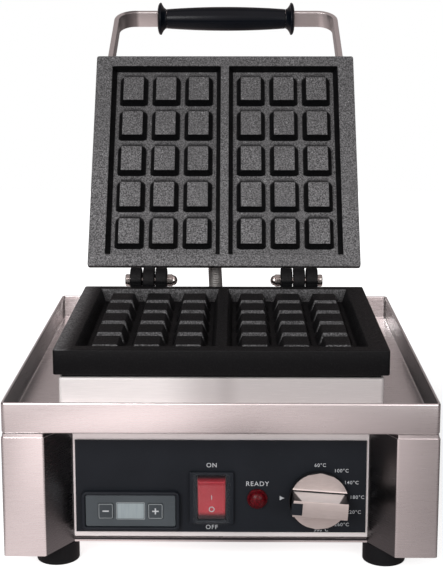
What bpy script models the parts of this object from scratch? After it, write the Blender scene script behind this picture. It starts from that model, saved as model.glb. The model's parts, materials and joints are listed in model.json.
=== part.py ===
"""Belgian waffle iron for two waffles, standing open with its lid leaning back.

The base, its drip tray and the lower plate stay still. The lid group hangs on an empty at the hinge.
It is modelled closed, in coordinates measured from the hinge axis, and the empty turns it open.
Lengths are metres. X runs to the right, Y to the back and Z up, and the iron stands on Z zero.
"""

import math

import bmesh
import bpy
from mathutils import Vector

# Shared clearances and finishes
GAP = 0.0003
SHEET = 0.0012
OVERRUN = 0.002
ROUND_SIDES = 24
SCREW_SIDES = 12
CORNER_STEPS = 4
SMALL_CORNER_STEPS = 2
HEX_SIDES = 6
SMOOTH_ANGLE = math.radians(35)

STEEL = ((0.72, 0.69, 0.67), 0.3, 1.0)
DARK_STEEL = ((0.3, 0.29, 0.29), 0.4, 1.0)
CAST_IRON = ((0.05, 0.05, 0.055), 0.6, 0.6)
WORN_IRON = ((0.22, 0.22, 0.23), 0.5, 0.8)
BLACK_PLASTIC = ((0.012, 0.013, 0.018), 0.3, 0.0)
RUBBER = ((0.015, 0.015, 0.015), 0.8, 0.0)
RED_PLASTIC = ((0.6, 0.03, 0.05), 0.3, 0.0)
CLEAR_PLASTIC = ((0.85, 0.87, 0.88), 0.1, 0.0)
GREY_PLASTIC = ((0.1, 0.12, 0.13), 0.25, 0.0)
LCD_GREEN = ((0.45, 0.52, 0.5), 0.3, 0.0)
INSULATION = ((0.75, 0.73, 0.68), 0.95, 0.0)
SATIN_METAL = ((0.75, 0.68, 0.64), 0.35, 1.0)

# Feet
FOOT_RADIUS = 0.0155
FOOT_CHEEK_OVERLAP = 0.005
FOOT_FRONT_SETBACK = 0.0343
FOOT_TAPER = 0.001
FOOT_EDGE = 0.002
FOOT_RECESS_RADIUS = 0.0055
FOOT_RECESS_DEPTH = 0.007
FOOT_SCREW_RADIUS = 0.002
FOOT_SCREW_HEAD_RADIUS = 0.0042
FOOT_SCREW_HEAD_HEIGHT = 0.003
FOOT_SCREW_RISE = 0.005

# Base shell
SHELL_BOTTOM = 0.015
SHELL_SHADOW_GAP = 0.0021
SHELL_HEIGHT = 0.0884
CHEEK_SHARE = 0.38312
PANEL_SETBACK = 0.0269
UPSTAND_OFFSET = 0.0008
UPSTAND_OVERLAP = 0.008

# Drip tray
TRAY_WIDTH = 0.305
TRAY_REAR_MARGIN = 0.0623
TRAY_HEIGHT = 0.0223
TRAY_CORNER_RADIUS = 0.002
TRAY_HEM_HEIGHT = 0.003
WIRE_HOLE_LEFT = 0.025
WIRE_HOLE_RIGHT = 0.07
WIRE_HOLE_DEPTH = 0.026

# Front panel and what fills its lower edge
PANEL_RAISE = 0.0055
PANEL_FLANGE_DEPTH = 0.012
LIP_HEIGHT = 0.0032
FRONT_SCREW_SPACING = 0.088
FRONT_SCREW_SETBACK = 0.006
FRONT_SCREW_RADIUS = 0.0015
FRONT_SCREW_HEAD_RADIUS = 0.003
FRONT_SCREW_HEAD_HEIGHT = 0.0015
FRONT_SCREW_LENGTH = 0.011

# Rear panel, vents, gland and terminal block
REAR_PANEL_BOTTOM_GAP = 0.0005
VENT_WIDTH = 0.003
VENT_HEIGHT = 0.024
VENT_PITCH = 0.011
VENT_COUNT = 9
VENT_RAISE = 0.05
GLAND_LEG_CLEARANCE = 0.017
GLAND_RAISE = 0.027
GLAND_RADIUS = 0.008
GLAND_FLANGE_RADIUS = 0.012
GLAND_FLANGE_LENGTH = 0.006
GLAND_BODY_LENGTH = 0.016
GLAND_BORE_RADIUS = 0.0045
TERMINAL_X = 0.06
TERMINAL_BACK_CLEARANCE = 0.0235
TERMINAL_WIDTH = 0.042
TERMINAL_DEPTH = 0.022
TERMINAL_HEIGHT = 0.018

# Control fascia
FASCIA_THICKNESS = 0.0015
FASCIA_SIDE_MARGIN = 0.0019
FASCIA_RAISE = 0.0084
FASCIA_TOP_MARGIN = 0.0131

# Thermostat
KNOB_LAMP_GAP = 0.0162
KNOB_SIDE_MARGIN = 0.0136
KNOB_RAISE = 0.0259
KNOB_RADIUS = 0.0205
KNOB_RUNNING_GAP = 0.0008
KNOB_DISC = 0.008
KNOB_EDGE = 0.001
KNOB_BAR_HEIGHT = 0.012
KNOB_BAR_LENGTH = 0.016
KNOB_BORE_DEPTH = 0.012
POINTER_LENGTH = 0.0076
POINTER_HEIGHT = 0.0086
POINTER_DEPTH = 0.003
SHAFT_RADIUS = 0.003
SHAFT_REACH = 0.0115
BUSHING_RADIUS = 0.0048
THERMOSTAT_WIDTH = 0.036
THERMOSTAT_HEIGHT = 0.04
THERMOSTAT_DEPTH = 0.03
CAPILLARY_RADIUS = 0.001
BULB_RADIUS = 0.003
BULB_LANE_X = 0.06
BULB_ELEMENT_CLEARANCE = 0.0243
BULB_BEHIND = 0.0355
CAPILLARY_AHEAD = 0.0092
CAPILLARY_DROP = 0.0115
CAPILLARY_BEND = 0.006

# Power switch
SWITCH_TIMER_GAP = 0.0071
SWITCH_RAISE = 0.0268
SWITCH_BEZEL_WIDTH = 0.0318
SWITCH_BEZEL_HEIGHT = 0.0388
SWITCH_BEZEL_DEPTH = 0.003
SWITCH_FLANGE_SIDE = 0.0019
SWITCH_FLANGE_END = 0.001
SWITCH_BODY_DEPTH = 0.035
SWITCH_WALL_SIDE = 0.0036
SWITCH_WALL_END = 0.0014
SWITCH_MOUTH_DEPTH = 0.02
ROCKER_SIDE_CLEARANCE = 0.0004
ROCKER_END_CLEARANCE = 0.0014
ROCKER_PIVOT_DEPTH = 0.0044
ROCKER_CENTRE_REACH = 0.0045
ROCKER_TIP_REACH = 0.0065
ROCKER_BACK_REACH = 0.005
ROCKER_TILT = math.radians(11)
ROCKER_AXLE_RADIUS = 0.0015
ROCKER_AXLE_LENGTH = 0.0014
SWITCH_COVER_SIDE_INSET = 0.0025
SWITCH_COVER_END_INSET = 0.001
SWITCH_COVER_CLEARANCE = 0.00174
SWITCH_COVER_WALL = 0.0009
SWITCH_COVER_SLOPE = 0.0015

# Ready lamp
LAMP_SWITCH_GAP = 0.0096
LAMP_RAISE = 0.0256
LAMP_RADIUS = 0.0073
LAMP_RISE = 0.0062
LAMP_BODY_RADIUS = 0.0052
LAMP_BODY_LENGTH = 0.025
LAMP_PROFILE_SHARES = ((1, 0), (1, 0.22), (0.9, 0.58), (0.68, 0.82), (0.38, 0.95), (0.1, 1))

# Timer
TIMER_SIDE_MARGIN = 0.0043
TIMER_RAISE = 0.0169
TIMER_WIDTH = 0.0706
TIMER_HEIGHT = 0.0292
TIMER_RISE = 0.004
TIMER_CORNER_RADIUS = 0.004
TIMER_FRAME_SIDE = 0.0029
TIMER_FRAME_END = 0.0028
TIMER_WINDOW_THICKNESS = 0.0026
TIMER_BUTTON_GAP = 0.003
TIMER_BUTTON_WIDTH = 0.0106
TIMER_BUTTON_HEIGHT = 0.0114
TIMER_BUTTON_RISE = 0.0006
TIMER_BUTTON_FLANGE = 0.0013
TIMER_BUTTON_FLANGE_THICKNESS = 0.0008
TIMER_BUTTON_TRAVEL = 0.0008
TIMER_LCD_WIDTH = 0.0192
TIMER_LCD_HEIGHT = 0.0114
TIMER_LCD_INSET = 0.0004
TIMER_BODY_SIDE_INSET = 0.0053
TIMER_BODY_END_INSET = 0.0046
TIMER_BODY_DEPTH = 0.024

# Waffle plates
PLATE_WIDTH = 0.247
PLATE_LENGTH = 0.216
PLATE_SETBACK = 0.0557
PLATE_RISE = 0.0228
PLATE_EDGE = 0.019
PLATE_STEP_INSET = 0.0058
PLATE_STEP = 0.0028
PLATE_CORNER_RADIUS = 0.0022
PLATE_RIM_CHAMFER = 0.0008
PARTING_GAP = 0.0003
POCKET_SIDE_MARGIN = 0.0154
POCKET_END_MARGIN = 0.0113
POCKET_DEPTH = 0.0115
POCKET_SIDE_DRAFT = 0.0038
POCKET_END_DRAFT = 0.0006
POCKET_RADIUS = 0.0035
POCKET_WEB = 0.0078
BLOCK_COLUMNS = 3
BLOCK_ROWS = 5
COLUMN_GROOVE_WIDTH = 0.0042
ROW_GROOVE_WIDTH = 0.0085
SIDE_GROOVE_WIDTH = 0.0036
END_GROOVE_WIDTH = 0.0086
BLOCK_SIDE_DRAFT = 0.004
BLOCK_END_DRAFT = 0.0017
BLOCK_HEIGHT = 0.01
REAR_RIM_THICKNESS = 0.006
REAR_RELIEF_DEPTH = 0.016

# Box under the lower plate
BOX_INSET = 0.0035
BOX_FLANGE = 0.008
BOX_CORNER_RADIUS = 0.003

# Heating elements and insulation
ELEMENT_RADIUS = 0.00325
ELEMENT_SIDE_MARGIN = 0.0335
ELEMENT_LANE_SHARE = 1 / 3
ELEMENT_FRONT_MARGIN = 0.03
ELEMENT_MIDDLE_MARGIN = 0.066
ELEMENT_COVER_GAP = 0.00305
ELEMENT_LEG_X = 0.012
ELEMENT_BEND = 0.01
LOWER_ELEMENT_LEG = 0.031
UPPER_ELEMENT_LEG = 0.018
SLAB_SIDE_MARGIN = 0.0195
SLAB_FRONT_GAP = 0.0027
SLAB_BACK_MARGIN = 0.052
UPPER_SLAB_THICKNESS = 0.024

# Hinge
HINGE_SETBACK = 0.013
HINGE_RISE = 0.0026
HINGE_SPREAD = 0.0675
LID_OPEN_ANGLE = math.radians(122)
KNUCKLE_RADIUS = 0.0103
KNUCKLE_WIDTH = 0.0104
EAR_WIDTH = 0.0103
EAR_GAP = 0.001
EAR_ROOT_TOP = 0.0015
EAR_ROOT_BOTTOM = 0.0165
HINGE_BOLT_RADIUS = 0.003
HINGE_HEAD_RADIUS = 0.0057
HINGE_HEAD_HEIGHT = 0.0042
HINGE_NUT_HEIGHT = 0.009
HINGE_NUT_HEX_SHARE = 0.55
HINGE_DOME_STEPS = 5
HINGE_THREAD_REACH = 0.005

# Lid cover
COVER_SIDE_INSET = 0.0118
COVER_FRONT_INSET = 0.0103
COVER_BACK_INSET = 0.0247
COVER_HEIGHT = 0.04
COVER_WALL = 0.001
COVER_CORNER_RADIUS = 0.006
COVER_TOP_BEVEL = 0.003

# Handle
STRIP_THICKNESS = 0.005
STRIP_WIDTH = 0.017
STRIP_CORNER_RADIUS = 0.0185
STRIP_CORNER_STEPS = 8
ARM_CLEARANCE = 0.001
ARM_SLOPE = math.radians(32.9)
ARM_BACK_END = 0.075
GRIP_REACH = 0.1011
GRIP_LIFT = 0.0995
GRIP_LENGTH = 0.1255
GRIP_WALL = 0.0018
GRIP_SWELL = 0.0023
GRIP_SWELL_STEPS = 10
COLLAR_FLARE = 0.0068
COLLAR_WIDTH = 0.0094
COLLAR_RIM_SHARE = 0.66
COLLAR_END_SHARE = 0.3
COLLAR_FLARE_STEPS = 5
HANDLE_SCREW_RADIUS = 0.0022
HANDLE_SCREW_HEAD_RADIUS = 0.0045
HANDLE_SCREW_HEAD_HEIGHT = 0.0026
HANDLE_SCREW_LENGTH = 0.013
HANDLE_SCREW_FIRST = 0.014
HANDLE_SCREW_PITCH = 0.045

# Conduit between the base and the lid
CONDUIT_RADIUS = 0.00635
CONDUIT_VALLEY = 0.00575
CONDUIT_BORE_RADIUS = 0.0046
CONDUIT_RIB_PITCH = 0.002
CONDUIT_SIDES = 10
CONDUIT_LID_X = -0.0088
CONDUIT_BASE_X = -0.0062
CONDUIT_LID_HEIGHT = 0.0185
CONDUIT_BEHIND_PLATE = 0.0293
CONDUIT_END_REACH = 0.002
CONDUIT_CURVE_HANDLE = 0.012
CONDUIT_CURVE_STEPS = 24
CONDUIT_BORE_STRIDE = 4
NUT_RADIUS = 0.0104
NUT_LENGTH = 0.008
NUT_CHAMFER = 0.0008

# The tray and the plates, which carry the rest
PLATE_BACK = PLATE_SETBACK + PLATE_LENGTH
TRAY_DEPTH = PLATE_BACK + TRAY_REAR_MARGIN
HALF_WIDTH = TRAY_WIDTH / 2
SHELL_TOP = SHELL_BOTTOM + SHELL_HEIGHT
TRAY_UNDERSIDE = SHELL_TOP + SHELL_SHADOW_GAP
TRAY_FLOOR = TRAY_UNDERSIDE + SHEET
TRAY_RIM = TRAY_UNDERSIDE + TRAY_HEIGHT
PLATE_TOP = TRAY_RIM + PLATE_RISE
PLATE_THICKNESS = PLATE_EDGE + PLATE_STEP
POCKET_WIDTH = (PLATE_WIDTH - POCKET_WEB) / 2 - POCKET_SIDE_MARGIN
POCKET_LENGTH = PLATE_LENGTH - 2 * POCKET_END_MARGIN
BLOCK_SPAN_X = POCKET_WIDTH - 2 * POCKET_SIDE_DRAFT - 2 * SIDE_GROOVE_WIDTH
BLOCK_SPAN_Y = POCKET_LENGTH - 2 * POCKET_END_DRAFT - 2 * END_GROOVE_WIDTH
BLOCK_PITCH_X = (BLOCK_SPAN_X + COLUMN_GROOVE_WIDTH) / BLOCK_COLUMNS
BLOCK_PITCH_Y = (BLOCK_SPAN_Y + ROW_GROOVE_WIDTH) / BLOCK_ROWS
BLOCK_WIDTH = BLOCK_PITCH_X - COLUMN_GROOVE_WIDTH
BLOCK_LENGTH = BLOCK_PITCH_Y - ROW_GROOVE_WIDTH
BOX_WIDTH = PLATE_WIDTH - 2 * BOX_INSET
BOX_LENGTH = PLATE_LENGTH - 2 * BOX_INSET
BOX_SETBACK = PLATE_SETBACK + BOX_INSET
HINGE_Y = PLATE_BACK + HINGE_SETBACK
HINGE_Z = PLATE_TOP + HINGE_RISE

# The row of controls sets the fascia's width, and the panel and the cheeks follow it
CONTROLS_WIDTH = (TIMER_WIDTH + SWITCH_TIMER_GAP + SWITCH_BEZEL_WIDTH + LAMP_SWITCH_GAP
                  + 2 * LAMP_RADIUS + KNOB_LAMP_GAP + 2 * KNOB_RADIUS)
FASCIA_HALF_WIDTH = (TIMER_SIDE_MARGIN + CONTROLS_WIDTH + KNOB_SIDE_MARGIN) / 2
TIMER_X = TIMER_SIDE_MARGIN + TIMER_WIDTH / 2 - FASCIA_HALF_WIDTH
SWITCH_X = TIMER_X + TIMER_WIDTH / 2 + SWITCH_TIMER_GAP + SWITCH_BEZEL_WIDTH / 2
LAMP_X = SWITCH_X + SWITCH_BEZEL_WIDTH / 2 + LAMP_SWITCH_GAP + LAMP_RADIUS
KNOB_X = FASCIA_HALF_WIDTH - KNOB_SIDE_MARGIN - KNOB_RADIUS
PANEL_HALF_WIDTH = FASCIA_HALF_WIDTH + FASCIA_SIDE_MARGIN
LEG_INNER = PANEL_HALF_WIDTH + CHEEK_SHARE * (HALF_WIDTH - PANEL_HALF_WIDTH)
PANEL_BOTTOM = SHELL_BOTTOM + PANEL_RAISE
LIP_TOP = SHELL_BOTTOM + LIP_HEIGHT
FASCIA_BOTTOM = SHELL_BOTTOM + FASCIA_RAISE
FASCIA_TOP = TRAY_UNDERSIDE - FASCIA_TOP_MARGIN
FASCIA_FRONT = PANEL_SETBACK - GAP - FASCIA_THICKNESS
KNOB_Z = FASCIA_BOTTOM + KNOB_RAISE
SWITCH_Z = FASCIA_BOTTOM + SWITCH_RAISE
LAMP_Z = FASCIA_BOTTOM + LAMP_RAISE
TIMER_Z = FASCIA_BOTTOM + TIMER_RAISE

# Inside the switch and the timer
SWITCH_BODY_WIDTH = SWITCH_BEZEL_WIDTH - 2 * SWITCH_FLANGE_SIDE
SWITCH_BODY_HEIGHT = SWITCH_BEZEL_HEIGHT - 2 * SWITCH_FLANGE_END
SWITCH_MOUTH_WIDTH = SWITCH_BODY_WIDTH - 2 * SWITCH_WALL_SIDE
SWITCH_MOUTH_HEIGHT = SWITCH_BODY_HEIGHT - 2 * SWITCH_WALL_END
ROCKER_WIDTH = SWITCH_MOUTH_WIDTH - 2 * ROCKER_SIDE_CLEARANCE
ROCKER_HEIGHT = SWITCH_MOUTH_HEIGHT - 2 * ROCKER_END_CLEARANCE
ROCKER_REACH = ROCKER_TIP_REACH * math.cos(ROCKER_TILT) + ROCKER_HEIGHT / 2 * math.sin(ROCKER_TILT)
SWITCH_COVER_WIDTH = SWITCH_BEZEL_WIDTH - 2 * SWITCH_COVER_SIDE_INSET
SWITCH_COVER_HEIGHT = SWITCH_BEZEL_HEIGHT - 2 * SWITCH_COVER_END_INSET
SWITCH_COVER_RISE = ROCKER_REACH - ROCKER_PIVOT_DEPTH + SWITCH_COVER_CLEARANCE + SWITCH_COVER_WALL
TIMER_WINDOW_WIDTH = TIMER_WIDTH - 2 * TIMER_FRAME_SIDE
TIMER_WINDOW_HEIGHT = TIMER_HEIGHT - 2 * TIMER_FRAME_END
TIMER_BODY_WIDTH = TIMER_WIDTH - 2 * TIMER_BODY_SIDE_INSET
TIMER_BODY_HEIGHT = TIMER_HEIGHT - 2 * TIMER_BODY_END_INSET
TIMER_BUTTON_OFFSET = TIMER_LCD_WIDTH / 2 + TIMER_BUTTON_GAP + TIMER_BUTTON_WIDTH / 2

# The closed lid, measured from the hinge axis
LID_PARTING = PARTING_GAP - HINGE_RISE
LID_FRONT = -HINGE_SETBACK - PLATE_LENGTH
LID_METAL_TOP = LID_PARTING + PLATE_THICKNESS
COVER_BOTTOM = LID_METAL_TOP + GAP
COVER_TOP = COVER_BOTTOM + COVER_HEIGHT
COVER_FRONT = LID_FRONT + COVER_FRONT_INSET
COVER_BACK = -HINGE_SETBACK - COVER_BACK_INSET
COVER_HALF_WIDTH = PLATE_WIDTH / 2 - COVER_SIDE_INSET
ARM_SPACING = 2 * (COVER_HALF_WIDTH + GAP) + STRIP_THICKNESS
ARM_LEVEL = LID_METAL_TOP + ARM_CLEARANCE + STRIP_WIDTH / 2
GRIP_Y = LID_FRONT - GRIP_REACH
GRIP_Z = LID_PARTING + GRIP_LIFT
GRIP_END_RADIUS = STRIP_WIDTH / 2 + GRIP_WALL
COLLAR_RADIUS = GRIP_END_RADIUS + COLLAR_FLARE

# Heating, wiring and conduit
ELEMENT_OUTER_LANE = PLATE_WIDTH / 2 - ELEMENT_SIDE_MARGIN
ELEMENT_INNER_LANE = ELEMENT_OUTER_LANE * ELEMENT_LANE_SHARE
ELEMENT_BACK_MARGIN = COVER_BACK_INSET + COVER_WALL + ELEMENT_COVER_GAP + ELEMENT_RADIUS
SLAB_HALF_WIDTH = PLATE_WIDTH / 2 - SLAB_SIDE_MARGIN
SLAB_FRONT_MARGIN = COVER_FRONT_INSET + COVER_WALL + SLAB_FRONT_GAP
WIRE_HOLE_Y = PLATE_BACK - ELEMENT_BACK_MARGIN
CAPILLARY_DROP_Y = WIRE_HOLE_Y - CAPILLARY_AHEAD
CAPILLARY_LEVEL = TRAY_UNDERSIDE - CAPILLARY_DROP
BULB_BACK = CAPILLARY_DROP_Y - BULB_BEHIND
BULB_FRONT = PLATE_SETBACK + ELEMENT_FRONT_MARGIN + BULB_ELEMENT_CLEARANCE
GLAND_X = LEG_INNER - GLAND_FLANGE_RADIUS - GLAND_LEG_CLEARANCE
GLAND_Z = SHELL_BOTTOM + GLAND_RAISE
CONDUIT_BASE_Y = PLATE_BACK + CONDUIT_BEHIND_PLATE


def turned_open(y, z):
    """Where a point of the closed lid, measured from the hinge, lies when the lid is open."""
    cosine = math.cos(LID_OPEN_ANGLE)
    sine = math.sin(LID_OPEN_ANGLE)
    return HINGE_Y + y * cosine + z * sine, HINGE_Z - y * sine + z * cosine


# The open lid's grip is the rearmost point, and the frame is centred between it and the tray front.
TOTAL_DEPTH = turned_open(GRIP_Y, GRIP_Z)[0] + COLLAR_RADIUS


def clear_scene():
    """Remove every object so that the model starts from an empty scene."""
    for thing in list(bpy.data.objects):
        bpy.data.objects.remove(thing, do_unlink=True)


def empty(name, location, parent=None):
    """Add an empty that carries other objects."""
    carrier = bpy.data.objects.new(name, None)
    carrier.location = location
    carrier.parent = parent
    bpy.context.scene.collection.objects.link(carrier)
    return carrier


def material(name, look):
    """Make a Principled material from a colour, a roughness and a metallic value."""
    colour, roughness, metallic = look
    made = bpy.data.materials.new(name)
    made.use_nodes = True
    shader = made.node_tree.nodes["Principled BSDF"]
    shader.inputs["Base Color"].default_value = (*colour, 1.0)
    shader.inputs["Roughness"].default_value = roughness
    shader.inputs["Metallic"].default_value = metallic
    return made


def add_object(name, data, look, parent):
    """Link a mesh or a curve into the scene under its parent; a look of None marks a tool."""
    thing = bpy.data.objects.new(name, data)
    thing.parent = parent
    bpy.context.scene.collection.objects.link(thing)
    if look is None:
        thing.hide_render = True
        thing.display_type = "WIRE"
    else:
        data.materials.append(material(name, look))
    return thing


def add_shell(shape, rings, ring_shaped):
    """Add one closed shell to a bmesh from rings of points with equal counts."""
    loops = [[shape.verts.new(point) for point in ring] for ring in rings]
    pairs = list(zip(loops, loops[1:]))
    if ring_shaped:
        pairs.append((loops[-1], loops[0]))
    else:
        shape.faces.new(loops[0])
        shape.faces.new(loops[-1])
    for lower, upper in pairs:
        for index, corner in enumerate(lower):
            following = (index + 1) % len(lower)
            shape.faces.new((corner, lower[following], upper[following], upper[index]))


def loft(name, shells, look, parent, ring_shaped=False, smooth=False):
    """Make an object from shells, each a list of rings that are joined in order."""
    shape = bmesh.new()
    for rings in shells:
        add_shell(shape, rings, ring_shaped)
    bmesh.ops.recalc_face_normals(shape, faces=shape.faces)
    mesh = bpy.data.meshes.new(name)
    shape.to_mesh(mesh)
    shape.free()
    if smooth:
        mesh.shade_smooth()
        mesh.set_sharp_from_angle(angle=SMOOTH_ANGLE)
    return add_object(name, mesh, look, parent)


def oriented(axis, across, up, along, centre=(0, 0, 0)):
    """A point given across, up and along an axis, measured from a centre."""
    if axis == "X":
        point = (along, across, up)
    elif axis == "Y":
        point = (across, along, up)
    else:
        point = (across, up, along)
    return tuple(part + offset for part, offset in zip(point, centre))


def prism(name, outline, low, high, look, parent, axis="Z"):
    """Extrude an outline along an axis from low to high."""
    rings = [[oriented(axis, u, v, level) for u, v in outline] for level in (low, high)]
    return loft(name, [rings], look, parent)


def box(name, x_range, y_range, z_range, look, parent):
    """A plain box between pairs of limits."""
    (left, right), (front, back) = x_range, y_range
    outline = [(left, front), (right, front), (right, back), (left, back)]
    return prism(name, outline, *z_range, look, parent)


def turned(name, profile, axis, look, parent, centre=(0, 0, 0), sides=ROUND_SIDES, ring_shaped=False):
    """Turn a profile of (radius, distance along the axis) pairs about an axis through centre."""
    rings = []
    for radius, along in profile:
        angles = [math.tau * step / sides for step in range(sides)]
        rings.append([oriented(axis, radius * math.cos(a), radius * math.sin(a), along, centre)
                      for a in angles])
    return loft(name, [rings], look, parent, ring_shaped, smooth=sides > HEX_SIDES)


def rounded_rectangle(width, height, radius, centre=(0, 0), steps=CORNER_STEPS):
    """Outline of a rectangle with round corners, as points that run once around it."""
    outline = []
    for quarter in range(4):
        start = quarter * math.tau / 4
        side_x = 1 if quarter in (0, 3) else -1
        side_y = 1 if quarter in (0, 1) else -1
        corner_x = centre[0] + side_x * (width / 2 - radius)
        corner_y = centre[1] + side_y * (height / 2 - radius)
        for step in range(steps + 1):
            angle = start + math.tau / 4 * step / steps
            outline.append((corner_x + radius * math.cos(angle), corner_y + radius * math.sin(angle)))
    return outline


def level_ring(outline, level):
    """A flat outline lifted to a level along Z."""
    return [(x, y, level) for x, y in outline]


def carve(target, *cutters):
    """Cut solids out of the target."""
    for cutter in cutters:
        cut = target.modifiers.new("cut_" + cutter.name, "BOOLEAN")
        cut.operation = "DIFFERENCE"
        cut.solver = "EXACT"
        cut.object = cutter
    return target


def fuse(target, *additions):
    """Join solids to the target as one body."""
    for addition in additions:
        join = target.modifiers.new("join_" + addition.name, "BOOLEAN")
        join.operation = "UNION"
        join.solver = "EXACT"
        join.object = addition
    return target


def offset_path(points, distance):
    """An open plan path moved sideways to its left by a distance, with mitred corners."""
    moved = []
    vectors = [Vector(point) for point in points]
    for index, point in enumerate(vectors):
        before = (point - vectors[index - 1]).normalized() if index else None
        after = (vectors[index + 1] - point).normalized() if index + 1 < len(vectors) else None
        before = before or after
        after = after or before
        left_before = Vector((-before.y, before.x))
        left_after = Vector((-after.y, after.x))
        middle = (left_before + left_after).normalized()
        moved.append(tuple(point + middle * (distance / middle.dot(left_before))))
    return moved


def filleted(points, radius, steps=CORNER_STEPS):
    """A path through points whose inner corners are rounded to a radius."""
    vectors = [Vector(point) for point in points]
    path = [vectors[0]]
    for before, corner, after in zip(vectors, vectors[1:], vectors[2:]):
        back = (before - corner).normalized()
        ahead = (after - corner).normalized()
        half = back.angle(ahead) / 2
        centre = corner + (back + ahead).normalized() * (radius / math.sin(half))
        start = corner + back * (radius / math.tan(half)) - centre
        end = corner + ahead * (radius / math.tan(half)) - centre
        for step in range(steps + 1):
            path.append(centre + start.slerp(end, step / steps) * radius)
    path.append(vectors[-1])
    return path


def tube(name, path, radius, look, parent, radius_shares=None):
    """A round bar along a path of points, with filled ends."""
    curve = bpy.data.curves.new(name, "CURVE")
    curve.dimensions = "3D"
    curve.bevel_depth = radius
    curve.bevel_resolution = 1
    curve.use_fill_caps = True
    spline = curve.splines.new("POLY")
    spline.points.add(len(path) - 1)
    for index, point in enumerate(path):
        spline.points[index].co = (*point, 1.0)
        spline.points[index].radius = radius_shares[index] if radius_shares else 1.0
    return add_object(name, curve, look, parent)


def side_path(side):
    """Plan of one side panel's outer face, from the control panel round the leg to the back."""
    points = [(PANEL_HALF_WIDTH, PANEL_SETBACK), (LEG_INNER, 0), (HALF_WIDTH, 0),
              (HALF_WIDTH, TRAY_DEPTH), (LEG_INNER, TRAY_DEPTH)]
    return [(side * x, y) for x, y in points]


def side_sheet(name, side, outer, inner, low, high, look, parent):
    """A folded sheet that follows the side path between two inward offsets."""
    path = side_path(side)
    outline = offset_path(path, side * outer) + offset_path(path, side * inner)[::-1]
    return prism(name, outline, low, high, look, parent)


def side_panel(name, side, frame):
    """One side of the shell with its two legs and the upstand that carries the tray."""
    panel = side_sheet(name, side, 0, SHEET, SHELL_BOTTOM, SHELL_TOP, STEEL, frame)
    upstand = side_sheet(name + "_upstand", side, UPSTAND_OFFSET, UPSTAND_OFFSET + SHEET,
                         SHELL_TOP - UPSTAND_OVERLAP, TRAY_UNDERSIDE - GAP, None, frame)
    return fuse(panel, upstand)


def tray_pan(frame):
    """Drip tray with a hemmed rim, a wire opening and the conduit's hole."""
    centre = (0, TRAY_DEPTH / 2)

    def outline(inset):
        radius = max(TRAY_CORNER_RADIUS - inset, GAP)
        return rounded_rectangle(TRAY_WIDTH - 2 * inset, TRAY_DEPTH - 2 * inset, radius, centre)

    hem_bottom = TRAY_RIM - TRAY_HEM_HEIGHT
    rings = [level_ring(outline(SHEET), TRAY_FLOOR), level_ring(outline(SHEET), hem_bottom),
             level_ring(outline(2 * SHEET), hem_bottom), level_ring(outline(2 * SHEET), TRAY_RIM),
             level_ring(outline(0), TRAY_RIM), level_ring(outline(0), TRAY_UNDERSIDE)]
    pan = loft("tray_pan", [rings], STEEL, frame)
    below, above = TRAY_UNDERSIDE - OVERRUN, TRAY_FLOOR + OVERRUN
    wires = box("wire_opening", (-WIRE_HOLE_LEFT, WIRE_HOLE_RIGHT),
                (WIRE_HOLE_Y - WIRE_HOLE_DEPTH / 2, WIRE_HOLE_Y + WIRE_HOLE_DEPTH / 2),
                (below, above), None, frame)
    hole_radius = CONDUIT_RADIUS + GAP
    hole = turned("conduit_floor_hole", [(hole_radius, below), (hole_radius, above)], "Z", None, frame,
                  (CONDUIT_BASE_X, CONDUIT_BASE_Y, 0))
    return carve(pan, wires, hole)


def front_panel(frame):
    """Steel panel behind the fascia, with a folded foot and the controls' holes."""
    half = PANEL_HALF_WIDTH - GAP
    back = PANEL_SETBACK + SHEET
    panel = box("front_panel", (-half, half), (PANEL_SETBACK, back),
                (PANEL_BOTTOM, TRAY_UNDERSIDE - GAP), STEEL, frame)
    flange_half = half - PANEL_FLANGE_DEPTH
    flange = box("front_panel_flange", (-flange_half, flange_half),
                 (PANEL_SETBACK + SHEET / 2, back + PANEL_FLANGE_DEPTH),
                 (PANEL_BOTTOM, PANEL_BOTTOM + SHEET), None, frame)
    fuse(panel, flange)
    carve(panel, *control_holes("panel", frame))
    for index, x in enumerate(front_screw_places()):
        carve(panel, screw_hole(f"front_screw_panel_hole_{index}", x, PANEL_BOTTOM, frame))
    return panel


def front_screw_places():
    """The three places across the front where the bottom plate is screwed on."""
    return -FRONT_SCREW_SPACING, 0, FRONT_SCREW_SPACING


def screw_hole(name, x, level, frame):
    """Clearance hole for a front screw through a sheet whose underside is at a level."""
    radius = FRONT_SCREW_RADIUS + GAP
    return turned(name, [(radius, level - OVERRUN), (radius, level + SHEET + OVERRUN)], "Z", None,
                  frame, (x, PANEL_SETBACK + SHEET + FRONT_SCREW_SETBACK, 0), SCREW_SIDES)


def control_holes(prefix, frame):
    """Cutters for the timer, the switch, the lamp and the thermostat through panel and fascia."""
    front, back = FASCIA_FRONT - OVERRUN, PANEL_SETBACK + SHEET + OVERRUN
    timer = prism(prefix + "_timer_hole",
                  rounded_rectangle(TIMER_BODY_WIDTH + 2 * GAP, TIMER_BODY_HEIGHT + 2 * GAP,
                                    OVERRUN, (TIMER_X, TIMER_Z)), front, back, None, frame, "Y")
    switch = prism(prefix + "_switch_hole",
                   rounded_rectangle(SWITCH_BODY_WIDTH + 2 * GAP, SWITCH_BODY_HEIGHT + 2 * GAP,
                                     OVERRUN, (SWITCH_X, SWITCH_Z)), front, back, None, frame, "Y")
    lamp_radius = LAMP_BODY_RADIUS + GAP
    lamp = turned(prefix + "_lamp_hole", [(lamp_radius, front), (lamp_radius, back)], "Y", None, frame,
                  (LAMP_X, 0, LAMP_Z))
    shaft_radius = BUSHING_RADIUS + GAP
    shaft = turned(prefix + "_shaft_hole", [(shaft_radius, front), (shaft_radius, back)], "Y", None,
                   frame, (KNOB_X, 0, KNOB_Z))
    return timer, switch, lamp, shaft


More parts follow.
